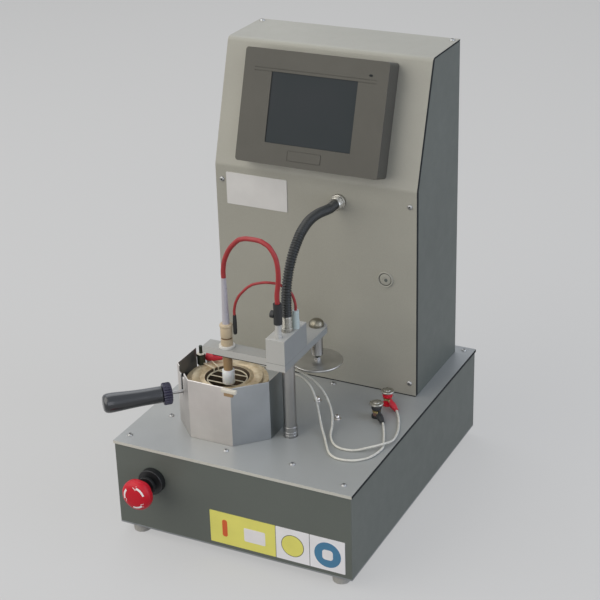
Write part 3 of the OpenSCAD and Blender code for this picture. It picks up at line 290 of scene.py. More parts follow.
def heated_brass(name, dark, mid, pale):
    """Pale brass, darkened in clouds and drops by oil and heat."""
    f = Finish(name, srgb(*mid), 0.45, 0.35)
    stain = f.ramp(f.noise(38, 6, roughness=0.65),
                   [(0.3, srgb(*dark)), (0.5, srgb(*mid)), (0.72, srgb(*pale))])
    drops = f.ramp(f.noise(170, 5), [(0.36, (0.8, 0.74, 0.64, 1)), (0.5, (1, 1, 1, 1))])
    f.colour(f.mix(0.6, stain, drops, "MULTIPLY"))
    f.rough(f.noise(110, 4), 0.34, 0.62)
    f.bump(f.noise(500, 4), 0.15, 0.0001)
    return f.material


def glass_screen(name):
    """The unlit panel behind its matt touch film."""
    colour = srgb(43, 49, 52)
    f = Finish(name, colour, 0.35, Specular_IOR_Level=0.15)
    f.colour(f.ramp(f.noise(9, 2), [(0.35, srgb(40, 47, 50)), (0.7, srgb(47, 50, 54))]))
    f.rough(f.noise(2400, 1), 0.3, 0.4)
    f.bump(f.noise(2600, 1), 0.08, 0.00003)
    return f.material


def printed(name, colour, rough=0.3):
    """A printed plastic film."""
    f = Finish(name, colour, rough, Coat_Weight=0.25, Coat_Roughness=0.2)
    f.colour(f.ramp(f.noise(30, 4), [(0.3, shade(colour, 0.95)), (0.7, shade(colour, 1.04))]))
    f.rough(f.noise(90, 3), rough - 0.05, rough + 0.1)
    f.bump(f.noise(300, 2), 0.06, 0.0001)
    return f.material


M = {
    "deck": powder_paint("deck_paint", srgb(156, 158, 156), 0.36, Specular_IOR_Level=0.9),
    "tower": powder_paint("tower_paint", srgb(163, 161, 150)),
    "dark": powder_paint("dark_paint", srgb(94, 99, 93), 0.45),
    "head": powder_paint("head_paint", srgb(188, 187, 182), 0.38),
    # Darker copies of head_paint for the head's right-facing sides and the arm's top: painted shade
    "head_side_painted_shade": powder_paint("head_side_painted_shade", srgb(147, 149, 147), 0.38),
    "arm_top_painted_shade": powder_paint("arm_top_painted_shade", srgb(163, 163, 159), 0.38),
    # Darker paint for the slab in the head's groove: painted shade
    "seam": powder_paint("head_seam_painted_shade", srgb(138, 137, 134), 0.5),
    "inner_steel": brushed("inner_steel", srgb(150, 153, 155), 0.4, "x"),
    "shield": brushed("shield_steel", srgb(212, 207, 202), 0.42, "z", 0.25),
    "column": brushed("column_steel", srgb(164, 163, 161), 0.3, "z"),
    "bright": plated("zinc_screws", srgb(168, 168, 166), 0.4),
    "nickel": plated("nickel_caps", srgb(178, 176, 168), 0.24),
    "chrome": plated("nickel_plate", srgb(212, 208, 204), 0.14),
    "dome": plated("domed_screw", srgb(134, 129, 115), 0.33),
    "disc": turned("cover_disc_steel", srgb(178, 177, 173), 0.34, (31.5, -20)),
    "brass": heated_brass("heated_brass", (172, 149, 114), (201, 184, 152), (218, 206, 180)),
    "post_brass": plated("post_brass", srgb(190, 172, 120), 0.25),
    "alu": brushed("machined_aluminium", srgb(185, 186, 188), 0.35, "y"),
    "hmi": moulded("screen_housing", srgb(82, 80, 73), 0.5, 1200, 0.25, Specular_IOR_Level=0.35),
    "screen": glass_screen("screen_film"),
    "black": moulded("black_plastic", srgb(26, 27, 29), 0.42),
    "black_gloss": moulded("black_phenolic", srgb(17, 20, 25), 0.3, 300, 0.02, Coat_Weight=0.7,
                           Coat_Roughness=0.1),
    "collar": moulded("collar_plastic", srgb(44, 42, 62), 0.32, 600, 0.1),
    "red_cap": moulded("red_mushroom", srgb(200, 14, 38), 0.4, 500, 0.06, Specular_IOR_Level=0.35),
    "white_ink": printed("white_print", srgb(238, 234, 234)),
    "plate": printed("bare_plate", srgb(210, 208, 205), 0.34),
    "yellow": printed("yellow_plate", srgb(232, 225, 112)),
    "white_sign": printed("white_plate", srgb(240, 238, 240)),
    "orange": printed("orange_print", srgb(214, 92, 36)),
    "blue": printed("blue_print", srgb(66, 124, 160)),
    "line": printed("dark_line", srgb(62, 64, 60)),
    # Near-black for the painted shadow lines and strips, and for the small dark lamp
    "gap": moulded("shadow_gap", srgb(34, 37, 38), 0.8, Specular_IOR_Level=0.2),
    "conduit": rubbery("black_conduit", srgb(31, 34, 33), 0.32),
    "rubber": rubbery("black_rubber", srgb(24, 25, 26), 0.5),
    "foot": rubbery("pale_foot", srgb(172, 170, 164), 0.5),
    "red_lead": rubbery("red_silicone", srgb(156, 42, 44), 0.45),
    "red_boot": rubbery("red_boot_rubber", srgb(196, 34, 52), 0.4),
    "white_lead": rubbery("pale_silicone", srgb(205, 203, 193), 0.48),
    "peek": moulded("tan_fitting", srgb(196, 178, 148), 0.42, 700, 0.1),
    "ptfe": moulded("white_sleeve", srgb(226, 226, 226), 0.35, 600, 0.06, Subsurface_Weight=0.1),
    "washer": moulded("pale_washer", srgb(216, 214, 208), 0.4, 600, 0.08),
    # Brown for the ring in the igniter fitting's groove: painted shade
    "groove": moulded("brown_groove_painted_shade", srgb(118, 94, 68), 0.6, 600, 0.08),
    "cup_inside": heated_brass("cup_inside", (58, 48, 36), (78, 64, 46), (96, 80, 56)),
    # A lighter copy of the paint for the deck's front edge: painted highlight
    "deck_edge_painted_light": powder_paint("deck_edge_painted_light", srgb(202, 200, 190)),
    # Darker copies of the shield steel for its inner faces, right front facet and right end: painted shade
    "shield_inside_painted_shade": brushed("shield_inside_painted_shade", srgb(122, 122, 121), 0.5, "z", 0.25),
    "shield_right": brushed("shield_right", srgb(170, 173, 175), 0.42, "z", 0.25),
    "shield_end_painted_shade": brushed("shield_end_painted_shade", srgb(148, 153, 152), 0.42, "z", 0.25),
    "post_body": moulded("brown_post", srgb(112, 84, 76), 0.4),
    "ceramic": moulded("pale_ceramic", srgb(214, 208, 194), 0.5, 500, 0.2),
    "stem": moulded("lilac_tube", srgb(182, 178, 184), 0.28, 400, 0.05),
    "tan_tube": moulded("brown_tube", srgb(160, 132, 96), 0.36, 500, 0.1),
    "connector": moulded("pale_connector", srgb(186, 198, 195), 0.38, 500, 0.08),
    "dark_steel": plated("darkened_steel", srgb(74, 80, 72), 0.4),
    "wire": moulded("grid_wire", srgb(208, 198, 172), 0.35, 700, 0.1),
    "board": moulded("insulating_board", srgb(205, 198, 182), 0.8, 260, 0.5),
    "contacts": moulded("contact_block", srgb(196, 188, 96), 0.45),
}


# Building pieces

FLAT_WITHIN = 0.6
FLUTE_POWER = 0.6
THIN = 0.12


def finish_piece(piece, body, materials, smooth=35, replaces=(), slot=None):
    """Links a made object, shades it and ties it to its body."""
    if piece.name not in bpy.context.scene.collection.objects:
        bpy.context.scene.collection.objects.link(piece)
    piece.data.materials.clear()
    for material in materials:
        piece.data.materials.append(material)
    if smooth:
        piece.data.shade_smooth()
        piece.data.set_sharp_from_angle(angle=math.radians(smooth))
    if body:
        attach(piece, body)
    if replaces:
        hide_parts(*replaces)
        slot = slot or SLOT_OF[replaces[0]]
    return piece


def from_bmesh(name, bm):
    """An object with the mesh made so far, its faces turned outwards."""
    mesh = bpy.data.meshes.new(name)
    bmesh.ops.recalc_face_normals(bm, faces=bm.faces)
    bm.to_mesh(mesh)
    bm.free()
    return bpy.data.objects.new(name, mesh)


def soften(piece, width, segments=2, angle=30):
    """Rounds the edges sharper than an angle, by a width in mm."""
    bevel = piece.modifiers.new("edges", "BEVEL")
    bevel.width = width * MM
    bevel.segments = segments
    bevel.limit_method = "ANGLE"
    bevel.angle_limit = math.radians(angle)
    bevel.use_clamp_overlap = True
    level = piece.modifiers.new("level", "WEIGHTED_NORMAL")
    level.keep_sharp = True


def dress(node, material, edge=0.3, zones=(), segments=2):
    """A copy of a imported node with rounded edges.

    Each zone is a material and a test of a face's centre in mm and its normal."""
    bm = bmesh.new()
    bm.from_mesh(frame["nodes"][node].data)
    bmesh.ops.remove_doubles(bm, verts=bm.verts, dist=1e-6)
    for face in bm.faces:
        centre = face.calc_center_median() / MM
        hits = (i for i, (_, test) in enumerate(zones, 1) if test(centre, face.normal))
        face.material_index = next(hits, 0)
    bmesh.ops.dissolve_limit(bm, angle_limit=math.radians(FLAT_WITHIN), verts=bm.verts, edges=bm.edges,
                             delimit={"MATERIAL"})
    piece = from_bmesh("look_" + node, bm)
    if edge:
        soften(piece, edge, segments)
    indices = [polygon.material_index for polygon in piece.data.polygons]
    finish_piece(piece, BODY_OF[node], [material] + [zone[0] for zone in zones], 35, (node,))
    piece.data.polygons.foreach_set("material_index", indices)


def skin(bm, rings, steps):
    """Faces between one ring of points and the next. A ring of one point closes the end."""
    for low, high in zip(rings, rings[1:]):
        for i in range(steps):
            j = (i + 1) % steps
            corners = [low[i % len(low)], low[j % len(low)], high[j % len(high)], high[i % len(high)]]
            unique = list(dict.fromkeys(corners))
            if len(unique) > 2:
                bm.faces.new(unique)


def lathe(name, profile, at, axis, body, material, steps=64, flute=None, replaces=(), slot=None,
          smooth=30):
    """A closed solid of revolution. The profile is (radius, height) in mm from the axis to the axis.

    flute is (low, high, count, depth): between those heights the radius is scalloped."""
    up = Vector(axis).normalized()
    side = up.orthogonal().normalized()
    other = up.cross(side)
    origin = Vector(at) * MM
    bm = bmesh.new()
    rings = []
    for radius, height in profile:
        centre = origin + up * height * MM
        if radius <= 0:
            rings.append([bm.verts.new(centre)])
            continue
        ring = []
        for i in range(steps):
            turn = 2 * math.pi * i / steps
            r = radius
            if flute and flute[0] <= height <= flute[1]:
                r -= flute[3] * abs(math.sin(flute[2] * turn / 2)) ** FLUTE_POWER
            ring.append(bm.verts.new(centre + (side * math.cos(turn) + other * math.sin(turn)) * r * MM))
        rings.append(ring)
    skin(bm, rings, steps)
    return finish_piece(from_bmesh(name, bm), body, [material], smooth, replaces, slot)


def catmull(points, steps):
    """Points along the same smooth line that the solids follow."""
    line = []
    last = len(points) - 1
    for i in range(last):
        a, b, c, d = (Vector(points[k]) for k in (max(i - 1, 0), i, i + 1, min(i + 2, last)))
        for j in range(steps):
            t = j / steps
            line.append(0.5 * (2 * b + (c - a) * t + (2 * a - 5 * b + 4 * c - d) * t * t
                               + (3 * b - a - 3 * c + d) * t ** 3))
    line.append(Vector(points[-1]))
    return line


def evenly(line, spacing):
    """The same line with points a steady distance apart, both ends kept."""
    lengths = [0]
    for a, b in zip(line, line[1:]):
        lengths.append(lengths[-1] + (b - a).length)
    count = max(2, round(lengths[-1] / spacing))
    result = []
    k = 0
    for i in range(count + 1):
        at = lengths[-1] * i / count
        while k < len(line) - 2 and lengths[k + 1] < at:
            k += 1
        t = (at - lengths[k]) / max(1e-12, lengths[k + 1] - lengths[k])
        result.append(line[k].lerp(line[k + 1], t))
    return result, lengths[-1]


def swept(name, line, radius_at, sides, body, material, node):
    """A closed tube along a line, in place of a node.

    radius_at gives the radius in mm at a point's number."""
    bm = bmesh.new()
    rings = []
    normal = None
    last = len(line) - 1
    for i, point in enumerate(line):
        tangent = (line[min(i + 1, last)] - line[max(i - 1, 0)]).normalized()
        if normal is None:
            normal = tangent.orthogonal().normalized()
        normal = (normal - tangent * normal.dot(tangent)).normalized()
        other = tangent.cross(normal)
        ring = []
        for k in range(sides):
            turn = 2 * math.pi * k / sides
            ring.append(bm.verts.new(point + (normal * math.cos(turn) + other * math.sin(turn))
                                     * (radius_at(i) * MM)))
        rings.append(ring)
    skin(bm, rings, sides)
    bm.faces.new(list(reversed(rings[0])))
    bm.faces.new(rings[-1])
    return finish_piece(from_bmesh(name, bm), body, [material], 60, (node,))


def slab(name, outline, placed, low, high):
    """A plate between two heights over a surface.

    placed turns (u, v, out), in mm across, up and out of that surface, into a point."""
    bm = bmesh.new()
    back = [bm.verts.new(placed(u, v, low)) for u, v in outline]
    front = [bm.verts.new(placed(u, v, high)) for u, v in outline]
    bm.faces.new(back)
    bm.faces.new(front)
    for i in range(len(outline)):
        j = (i + 1) % len(outline)
        bm.faces.new((back[i], back[j], front[j], front[i]))
    return from_bmesh(name, bm)


def flat_shape(name, outline, placed, body, material, thick=THIN, slot=None):
    """A thin plate or printed shape on a surface, as a piece."""
    return finish_piece(slab(name, outline, placed, 0, thick), body, [material], 20, slot=slot)


def rounded(x0, y0, x1, y1, r, steps=6):
    """The outline of a rectangle with rounded corners."""
    points = []
    for cx, cy, start in ((x1 - r, y1 - r, 0), (x0 + r, y1 - r, 90), (x0 + r, y0 + r, 180),
                          (x1 - r, y0 + r, 270)):
        for i in range(steps + 1):
            a = math.radians(start + 90 * i / steps)
            points.append((cx + r * math.cos(a), cy + r * math.sin(a)))
    return points


def disc_outline(x, y, r, steps=48):
    """The outline of a round disc."""
    return [(x + r * math.cos(2 * math.pi * i / steps), y + r * math.sin(2 * math.pi * i / steps))
            for i in range(steps)]


# Cords, along the routes of the solids

CONDUIT = [(34, 33, 387.5), (34, 21, 387.5), (34, 6, 390), (34, -12, 393), (34, -29, 394),
           (34, -37.7, 393.4), (34, -46, 392), (34, -60, 387), (34, -66.2, 383.3), (34, -72, 379),
           (34, -83, 369), (34, -92, 357), (34, -99, 343), (34, -103.5, 328), (34, -105, 310),
           (34, -105, 296.5)]
SPARK = [(33, -126, 321), (33, -126, 333), (35, -126, 347), (35.5, -126, 363), (33, -126, 379),
         (25, -125, 391), (18, -124.3, 394.8), (10, -123.5, 397), (-6, -121.5, 396), (-13.8, -120.2, 393.8),
         (-21, -119, 390), (-33, -117.5, 377), (-41, -116.5, 361), (-44, -115.8, 347), (-44, -115.8, 337)]
PROBE = [(40.5, -94, 300), (40.5, -94, 308), (36.5, -94, 320), (28, -95, 328), (22.7, -96.8, 330.9),
         (17, -99, 333), (5, -103.5, 334), (-8, -107, 331), (-13.3, -108.1, 327.9), (-18, -109, 324),
         (-26, -110.5, 315), (-29.1, -111.2, 309.6), (-31.5, -111.7, 304), (-33.5, -112.2, 294),
         (-33.5, -112.2, 288)]
BLACK = [(129, -37, 135.2), (137, -52, 133.7), (146, -73, 133.7), (152, -90, 133.7), (151, -105, 133.7),
         (145, -121, 133.7), (131, -133, 133.7), (113, -136, 133.7), (100, -130, 133.7), (89, -116, 133.7),
         (77, -97, 134.5), (67, -83.5, 138), (58, -71, 145), (49, -59, 154), (40, -50, 165), (30, -45, 175),
         (17, -44, 182), (0, -46, 184), (-20, -46, 184.5), (-40, -44, 185.5), (-60, -42.5, 187),
         (-82, -46, 190), (-98, -56, 193), (-107, -66, 196), (-107.5, -76, 197.5), (-105.5, -80.5, 197.5)]
RED = [(132.5, -1.5, 135.4), (140, -13, 134), (147, -28, 133.7), (154, -48, 133.7), (157, -70, 134.5),
       (153, -86, 137.3), (140, -100, 136.6), (125, -110, 134.2), (111, -113, 133.7), (99, -110, 133.7),
       (89, -101, 133.7), (81, -88, 134.5), (76, -73, 138), (69, -58, 145), (59, -46, 154), (47, -38, 164),
       (33, -34, 173), (17, -34, 181), (0, -37, 186), (-18, -42, 190), (-36, -48, 192.5), (-55, -57, 196),
       (-68, -63, 197.7), (-79.5, -66.5, 198)]
LEAD_STEP = 2.2
RIB_PITCH = 3.2
POINTS_PER_RIB = 8
CONDUIT_RADIUS = 5.7
RIB_HEIGHT = 0.65
RIB_FLATNESS = 1.6


def in_metres(route):
    """A route's points, in metres."""
    return [tuple(c * MM for c in point) for point in route]


def add_lead(name, route, diameter, node, material):
    """A plain round lead between two fittings of the object."""
    line, length = evenly(catmull(in_metres(route), 12), LEAD_STEP * MM)
    lead = swept(name, line, lambda i: diameter / 2, 20, BODY_OF[node], M[material], node)


def add_conduit():
    """The black ribbed conduit, fixed in place here, though on the object it bends as the head is lifted.
    """
    line, length = evenly(catmull(in_metres(CONDUIT), 16), RIB_PITCH * MM / POINTS_PER_RIB)

    def radius(i):
        wave = math.cos(2 * math.pi * i / POINTS_PER_RIB)
        return CONDUIT_RADIUS + RIB_HEIGHT * max(-1, min(1, wave * RIB_FLATNESS))

    tube = swept("ribbed_conduit", line, radius, 28, None, M["conduit"], "conduit")
    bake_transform(tube)


add_conduit()
add_lead("spark_lead_red", SPARK, 6, "spark_lead", "red_lead")
add_lead("probe_lead_red", PROBE, 3.4, "probe_lead", "red_lead")
add_lead("pale_lead_one", BLACK, 3, "lead_black", "white_lead")
add_lead("pale_lead_two", RED, 3, "lead_red", "white_lead")


# Base and tower. The limits in the zone tests are places on the solids, in mm

dress("base_shell", M["dark"], 0.5)
# The deck's front edge takes lighter paint, a painted highlight, and its right edge near-black, a painted
# shadow line
dress("top_plate", M["deck"], 0.9, [
    (M["deck_edge_painted_light"], lambda c, n: c.y < -204.6),
    (M["gap"], lambda c, n: n.x > 0.9 and c.x > 161)], segments=3)
# The sheet's side edges are near-black: a painted shadow line
dress("tower_sheet", M["tower"], 0.8, [(M["gap"], lambda c, n: n.x > 0.9)], segments=3)
dress("tower_sides", M["dark"], 0.4)
dress("tower_back", M["dark"], 0.3)
dress("feet", M["foot"], 0.6)
dress("chassis_pan", M["inner_steel"], 0.2)

SCREW_R = 3.5
SCREW_PROFILE = [(0, -0.4), (SCREW_R, -0.4), (SCREW_R, 0.25), (SCREW_R * 0.95, 0.8), (SCREW_R * 0.82, 1.4),
                 (SCREW_R * 0.62, 1.9), (SCREW_R * 0.44, 2.1), (SCREW_R * 0.42, 0.9), (0, 0.8)]
# The socket as a dark hexagon at the bottom of the head's recess: painted shade
SOCKET_SHADE_PROFILE = [(0, 0.8), (SCREW_R * 0.4, 0.8), (SCREW_R * 0.4, 0.95), (0, 0.95)]


def add_screw(name, at, axis):
    """A button-head screw, its hexagon socket a dark hexagon: painted shade in the hole."""
    head = lathe(name, SCREW_PROFILE, at, axis, "base", M["bright"], 36, slot="bright_steel")
    lathe(name + "_socket", SOCKET_SHADE_PROFILE, at, axis, "base", M["line"], 6, slot="bright_steel")
    return head


DECK_SCREWS = [(-150, -185), (-21.5, -171), (67.5, -167.5), (144, -186), (-127, -122), (25.5, 38),
               (149, 195)]
DOME_SCREWS = [(70, -45), (27, -12)]
PANEL_SCREWS = [(x, z) for x in (-132, 130) for z in (150, 394)]
TOP_SCREWS = [(TOWER_X + s * 133, 178) for s in (-1, 1)]
DOME_PROFILE = [(0, -0.3), (5, -0.3), (5, 0.6), (3.6, 0.7), (3.5, 3.2), (3.1, 4.4), (2.2, 5.3), (1.1, 5.7),
                (0, 5.8)]
screws = [add_screw(f"deck_screw_{i}", (x, y, DECK_Z), UPWARD) for i, (x, y) in enumerate(DECK_SCREWS)]
for i, (x, z) in enumerate(PANEL_SCREWS):
    add_screw(f"panel_screw_{i}", (x, TOWER_FRONT, z), FORWARD)
for i, (x, y) in enumerate(TOP_SCREWS):
    add_screw(f"top_screw_{i}", (x, y, TOWER_TOP), UPWARD)
for i, (x, y) in enumerate(DOME_SCREWS):
    lathe(f"dome_nut_{i}", DOME_PROFILE, (x, y, DECK_Z), UPWARD, "base", M["chrome"], 40,
          slot="bright_steel")
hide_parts("case_screws")


# Plain plates

def on_front(u, v, out):
    """A point over the front of the base."""
    return millimetres(u, FRONT_Y - out, v)


def on_plate(u, v, out):
    """A point over the plates on that front."""
    return on_front(u, v, PLATE_THICK + out)


def on_tower(u, v, out):
    """A point over the front of the tower."""
    return millimetres(u, TOWER_FRONT - out, v)


PLATE_THICK = 0.5
PLATE_LOW = 20
PLATE_HIGH = 65
DISC_AT = (83, 42)
BLUE_AT = (129.6, 42)


def add_front_plates():
    """Three plain plates in a row, with a bar, a card and two discs on them."""
    spans = ((-30, 60.2, "yellow"), (60.5, 105.7, "white_sign"), (106, 152.5, "white_sign"))
    plates = [flat_shape(f"front_plate_{i}", rounded(x0, PLATE_LOW, x1, PLATE_HIGH, 0.8, 3), on_front,
                         "base", M[colour], PLATE_THICK, "plate_white")
              for i, (x0, x1, colour) in enumerate(spans)]
    marks = [
        ("plate_bar", rounded(-13, 31, -6, 55, 3, 5), "orange", THIN),
        ("plate_card", rounded(17, 31.5, 46, 50.5, 1.6, 4), "white_ink", THIN),
        ("plate_disc_rim", disc_outline(*DISC_AT, 15.2), "line", 0.08),
        ("plate_disc", disc_outline(*DISC_AT, 14.4), "yellow", 0.14),
        ("plate_blue_disc", disc_outline(*BLUE_AT, 17.5), "blue", THIN),
        ("plate_blue_centre", rounded(122.6, 35, 136.6, 49, 4, 6), "white_ink", 0.16)]
    marks += [(f"plate_gap_{i}", rounded(x - 0.35, PLATE_LOW, x + 0.35, PLATE_HIGH, 0.1, 2), "line", 0.02)
              for i, x in enumerate((60.35, 105.85))]
    for name, outline, colour, thick in marks:
        flat_shape(name, outline, on_plate, "base", M[colour], thick, "plate_white")
    return plates


def on_slope(u, v, out):
    """A point on the leaning face: u to the right, v up the slope, out from it."""
    side = Vector((1, 0, 0))
    up = Vector((0, math.sin(SLOPE), math.cos(SLOPE)))
    outward = Vector((0, -math.cos(SLOPE), math.sin(SLOPE)))
    return (Vector((TOWER_X, TOWER_FRONT, BEND_Z)) + side * u + up * v + outward * out) * MM


plates = add_front_plates()
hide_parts("blank_plates")
flat_shape("name_plate", rounded(-125.5, 361.5, -38.5, 405, 1.2, 4), on_tower, "base", M["plate"], 0.8,
           "plate_white")

# Painted shadow lines: dark strips where the folded sheet meets the side panel and the deck
SIDE_X = 138.95
side_line = [(48.4, 133), (52.8, 133), (52.8, 413.2), (102.6, 567.5), (98.2, 567.5), (48.4, 414.5)]
flat_shape("side_painted_shadow", side_line, lambda u, v, out: millimetres(SIDE_X + out, u, v), "base", M["gap"],
           slot="tower_paint")
flat_shape("foot_painted_shadow", rounded(-140.5, DECK_Z, 138.5, DECK_Z + 1.3, 0.1, 1), on_tower, "base", M["gap"],
           slot="tower_paint")


# Touch screen

def screen_slab(name, x0, z0, x1, z1, low, high, radius, steps=6):
    """A plate over the slope with rounded corners."""
    return slab(name, rounded(x0, z0, x1, z1, radius, steps), on_slope, low, high)


def cut(piece, cutters):
    """Takes closed shapes out of a piece for good."""
    scene = bpy.context.scene.collection
    scene.objects.link(piece)
    for cutter in cutters:
        scene.objects.link(cutter)
        modifier = piece.modifiers.new("cut", "BOOLEAN")
        modifier.operation = "DIFFERENCE"
        modifier.solver = "EXACT"
        modifier.object = cutter
    bpy.context.view_layer.update()
    shaped = bpy.data.meshes.new_from_object(piece.evaluated_get(bpy.context.evaluated_depsgraph_get()))
    piece.modifiers.clear()
    piece.data = shaped
    for cutter in cutters:
        bpy.data.objects.remove(cutter)


def add_screen():
    """The housing with its two grooves, window and seat for a plain badge, and what fills them."""
    x0, x1 = HMI_X, HMI_X + HMI_W
    z0, z1 = HMI_UP, HMI_UP + HMI_H
    vx, vz, vw, vh = VIEW
    clear = HMI_OUT + 5
    body = screen_slab("screen_body", x0, z0, x1, z1, 0, HMI_OUT, 4, 8)
    grooves = [screen_slab(f"cutter_{i}", x0 + 15, z, x1 - 15, z + 1, HMI_OUT - 0.8, clear, 0.3, 2)
               for i, z in enumerate((vz + vh - 1, vz + vh + 3))]
    window = screen_slab("cutter_window", vx, vz, vx + vw, vz + vh, HMI_OUT - 2.4, clear, 1.2, 4)
    badge = screen_slab("cutter_badge", -25.6, z0 + 7.4, 20.6, z0 + 20.6, HMI_OUT - 0.5, clear, 1.4, 4)
    cut(body, grooves + [window, badge])
    soften(body, 0.7, 3, 28)
    finish_piece(body, "base", [M["hmi"]], 30, ("hmi_housing",))
    back = screen_slab("screen_back", x0 + 8.5, z0 + 8.5, x1 - 8.5, z1 - 8.5, -34, 0, 3, 4)
    finish_piece(back, "base", [M["black"]], 30, slot="grey_plastic")
    panel = screen_slab("screen_panel", vx + 0.2, vz + 0.2, vx + vw - 0.2, vz + vh - 0.2,
                        HMI_OUT - 2.3, HMI_OUT - 1.3, 1)
    finish_piece(panel, "base", [M["screen"]], 30, ("hmi_display",))
    plate = screen_slab("screen_badge", -25, z0 + 8, 20, z0 + 20, HMI_OUT - 0.6, HMI_OUT + 0.35, 1, 4)
    soften(plate, 0.25, 2)
    finish_piece(plate, "base", [M["hmi"]], 30, slot="plate_white")
    lamp = screen_slab("screen_lamp", 72.3, 132.9, 76.7, 135.7, HMI_OUT - 0.3, HMI_OUT + 0.5, 1.2, 4)
    finish_piece(lamp, "base", [M["gap"]], 30, slot="screen_glass")


add_screen()

# Emergency stop

dress("stop_body", M["black"], 0.6)
dress("stop_stem", M["black"], 0.3)
dress("stop_contacts", M["contacts"], 0.8)
CAP_PROFILE = [(0, 0), (6, 0.1), (11.2, 0.6), (14.5, 1.4), (16.8, 2.5), (18.6, 4), (19.6, 5.6), (20, 7.4),
               (20, 11.4), (19.6, 12.8), (18.4, 14), (15, 15.6), (12.6, 16.8), (12, 18), (12, 22), (0, 22)]
lathe("stop_mushroom", CAP_PROFILE, (STOP[0], STOP_CAP_Y, STOP[1]), (0, 1, 0), BODY_OF["stop_cap"],
      M["red_cap"], 72, replaces=("stop_cap",))


def add_stop_arrows():
    """Three plain turning arrows printed round the mushroom's face."""
    def depth(r):
        for (r0, y0), (r1, y1) in zip(CAP_PROFILE, CAP_PROFILE[1:]):
            if r0 <= r <= r1:
                return y0 + (y1 - y0) * (r - r0) / (r1 - r0)
        return 0

    def point(r, a):
        return millimetres(STOP[0] + r * math.cos(a), STOP_CAP_Y + depth(r) - THIN,
                           STOP[1] + r * math.sin(a))

    span = math.radians(56)
    steps = 14
    for n in range(3):
        bm = bmesh.new()
        start = math.radians(20 + 120 * n)
        rows = []
        for i in range(steps + 1):
            a = start + span * i / steps
            rows.append([bm.verts.new(point(r, a)) for r in (12.6, 13.9, 15.2)])
        for low, high in zip(rows, rows[1:]):
            for k in range(2):
                bm.faces.new((low[k], low[k + 1], high[k + 1], high[k]))
        tip = start + span
        bm.faces.new([bm.verts.new(point(r, a)) for r, a in ((11.2, tip), (16.6, tip), (13.9, tip + 0.36))])
        finish_piece(from_bmesh(f"stop_arrow_{n}", bm), BODY_OF["stop_cap"], [M["white_ink"]], 0,
                     slot="red_plastic")


add_stop_arrows()

# Shield, heater and cup

# The inner faces, the right front facet and the right end take darker steel: painted shade on one sheet
dress("shield", M["shield"], 0.5, [
    (M["shield_inside_painted_shade"], lambda c, n: n.x * (c.x - CUP[0]) + n.y * (c.y - CUP[1]) < -5),
    (M["shield_end_painted_shade"], lambda c, n: n.x > 0.85),
    (M["shield_right"], lambda c, n: n.x > 0.3 and n.y < -0.5)], segments=3)
dress("shield_clip", M["tan_tube"], 0.5, [(M["ceramic"], lambda c, n: c.z > 208.1)])
dress("plinth", M["board"], 0.4)
dress("hot_plate", M["dark_steel"], 0.4)
dress("heater_block", M["brass"], 0.5)


def in_cup(c, n):
    """Whether a face is on the cup's bore or floor."""
    return math.hypot(c.x - CUP[0], c.y - CUP[1]) < 28.2 and 163 < c.z < RIM_Z - 0.05


dress("cup", M["brass"], 0, [(M["cup_inside"], in_cup)])
dress("detector_grid", M["wire"], 0)
dress("terminals", M["dark_steel"], 0.2, [
    (M["ceramic"], lambda c, n: c.z < 193.1),
    (M["ceramic"], lambda c, n: 206.8 < c.z < 208.2)])
dress("clip_boot", M["red_boot"], 0.3)
dress("handle_rod", M["column"], 0.1)
HANDLE_AXIS = (math.cos(math.radians(HANDLE_ANGLE)), math.sin(math.radians(HANDLE_ANGLE)), 0)


def along_handle(distance):
    """A point on the handle's axis, by its distance in mm from the middle of the cup."""
    return (CUP[0] + HANDLE_AXIS[0] * distance, CUP[1] + HANDLE_AXIS[1] * distance, ROD_Z)


collar_profile = [(0, 0), (8, 0), (12.6, 0.2), (13.6, 0.9), (14, 2), (14, 9), (13.6, 10.2), (12.4, 10.9),
                  (8, 11), (0, 11)]
lathe("knurled_collar", collar_profile, along_handle(COLLAR_START), HANDLE_AXIS, "base", M["collar"], 208,
      flute=(0.5, 10.5, 26, 1.3), replaces=("handle_collar",), smooth=50)
grip_profile = [(0, 0), (9.4, 0), (10.2, 0.4), (10.5, 1.4), (10.5, 22), (10.7, 32), (11.3, 44), (12, 55),
                (12.4, 63), (12.4, 67.5), (12, 70.4), (11, 72.8), (9, 74.4), (6, 75), (0, 75)]
lathe("handle_grip_gloss", grip_profile, along_handle(COLLAR_START + COLLAR_LEN), HANDLE_AXIS, "base",
      M["black_gloss"], 72, replaces=("handle_grip",), smooth=50)

# Column and head

lathe("bushing_flange", [(0, 123), (18, 123), (18, 128), (0, 128)], (*COLUMN, 0), UPWARD, "base", M["alu"],
      slot="bright_steel")
bushing_profile = [(0, 127), (8.9, 127), (8.9, 135), (8.6, 135.4), (8.9, 135.8), (8.9, 138.6), (8.6, 139),
                   (8.9, 139.4), (8.9, 145.7), (8.6, 146), (0, 146)]
lathe("look_bushing", bushing_profile, (*COLUMN, 0), UPWARD, "base", M["column"], replaces=("bushing",))
dress("column", M["column"], 0.2)
# The right-facing sides and the arm's top take darker paint: painted shade on the same enamel
dress("head_plate", M["head"], 0.7, [
    (M["head_side_painted_shade"], lambda c, n: n.x > 0.8), (M["arm_top_painted_shade"], lambda c, n: n.z > 0.8)], segments=3)
dress("head_block", M["head"], 0.7, [(M["head_side_painted_shade"], lambda c, n: n.x > 0.8)], segments=3)
# A darker slab in the groove between block and plate: painted shade
flat_shape("head_seam_painted_shade", rounded(19.96, -135.24, 45.24, -75.16, 0.4, 3),
           lambda u, v, out: millimetres(u, v, HEAD_TOP + out), "head", M["seam"], 0.6, "grey_paint")


def thread(start, count, pitch, low, high):
    """Points of a screw thread drawn as rings."""
    return [(r, start + pitch * (i + share)) for i in range(count)
            for r, share in ((low, 0.0), (high, 0.35), (high, 0.6), (low, 0.95))]


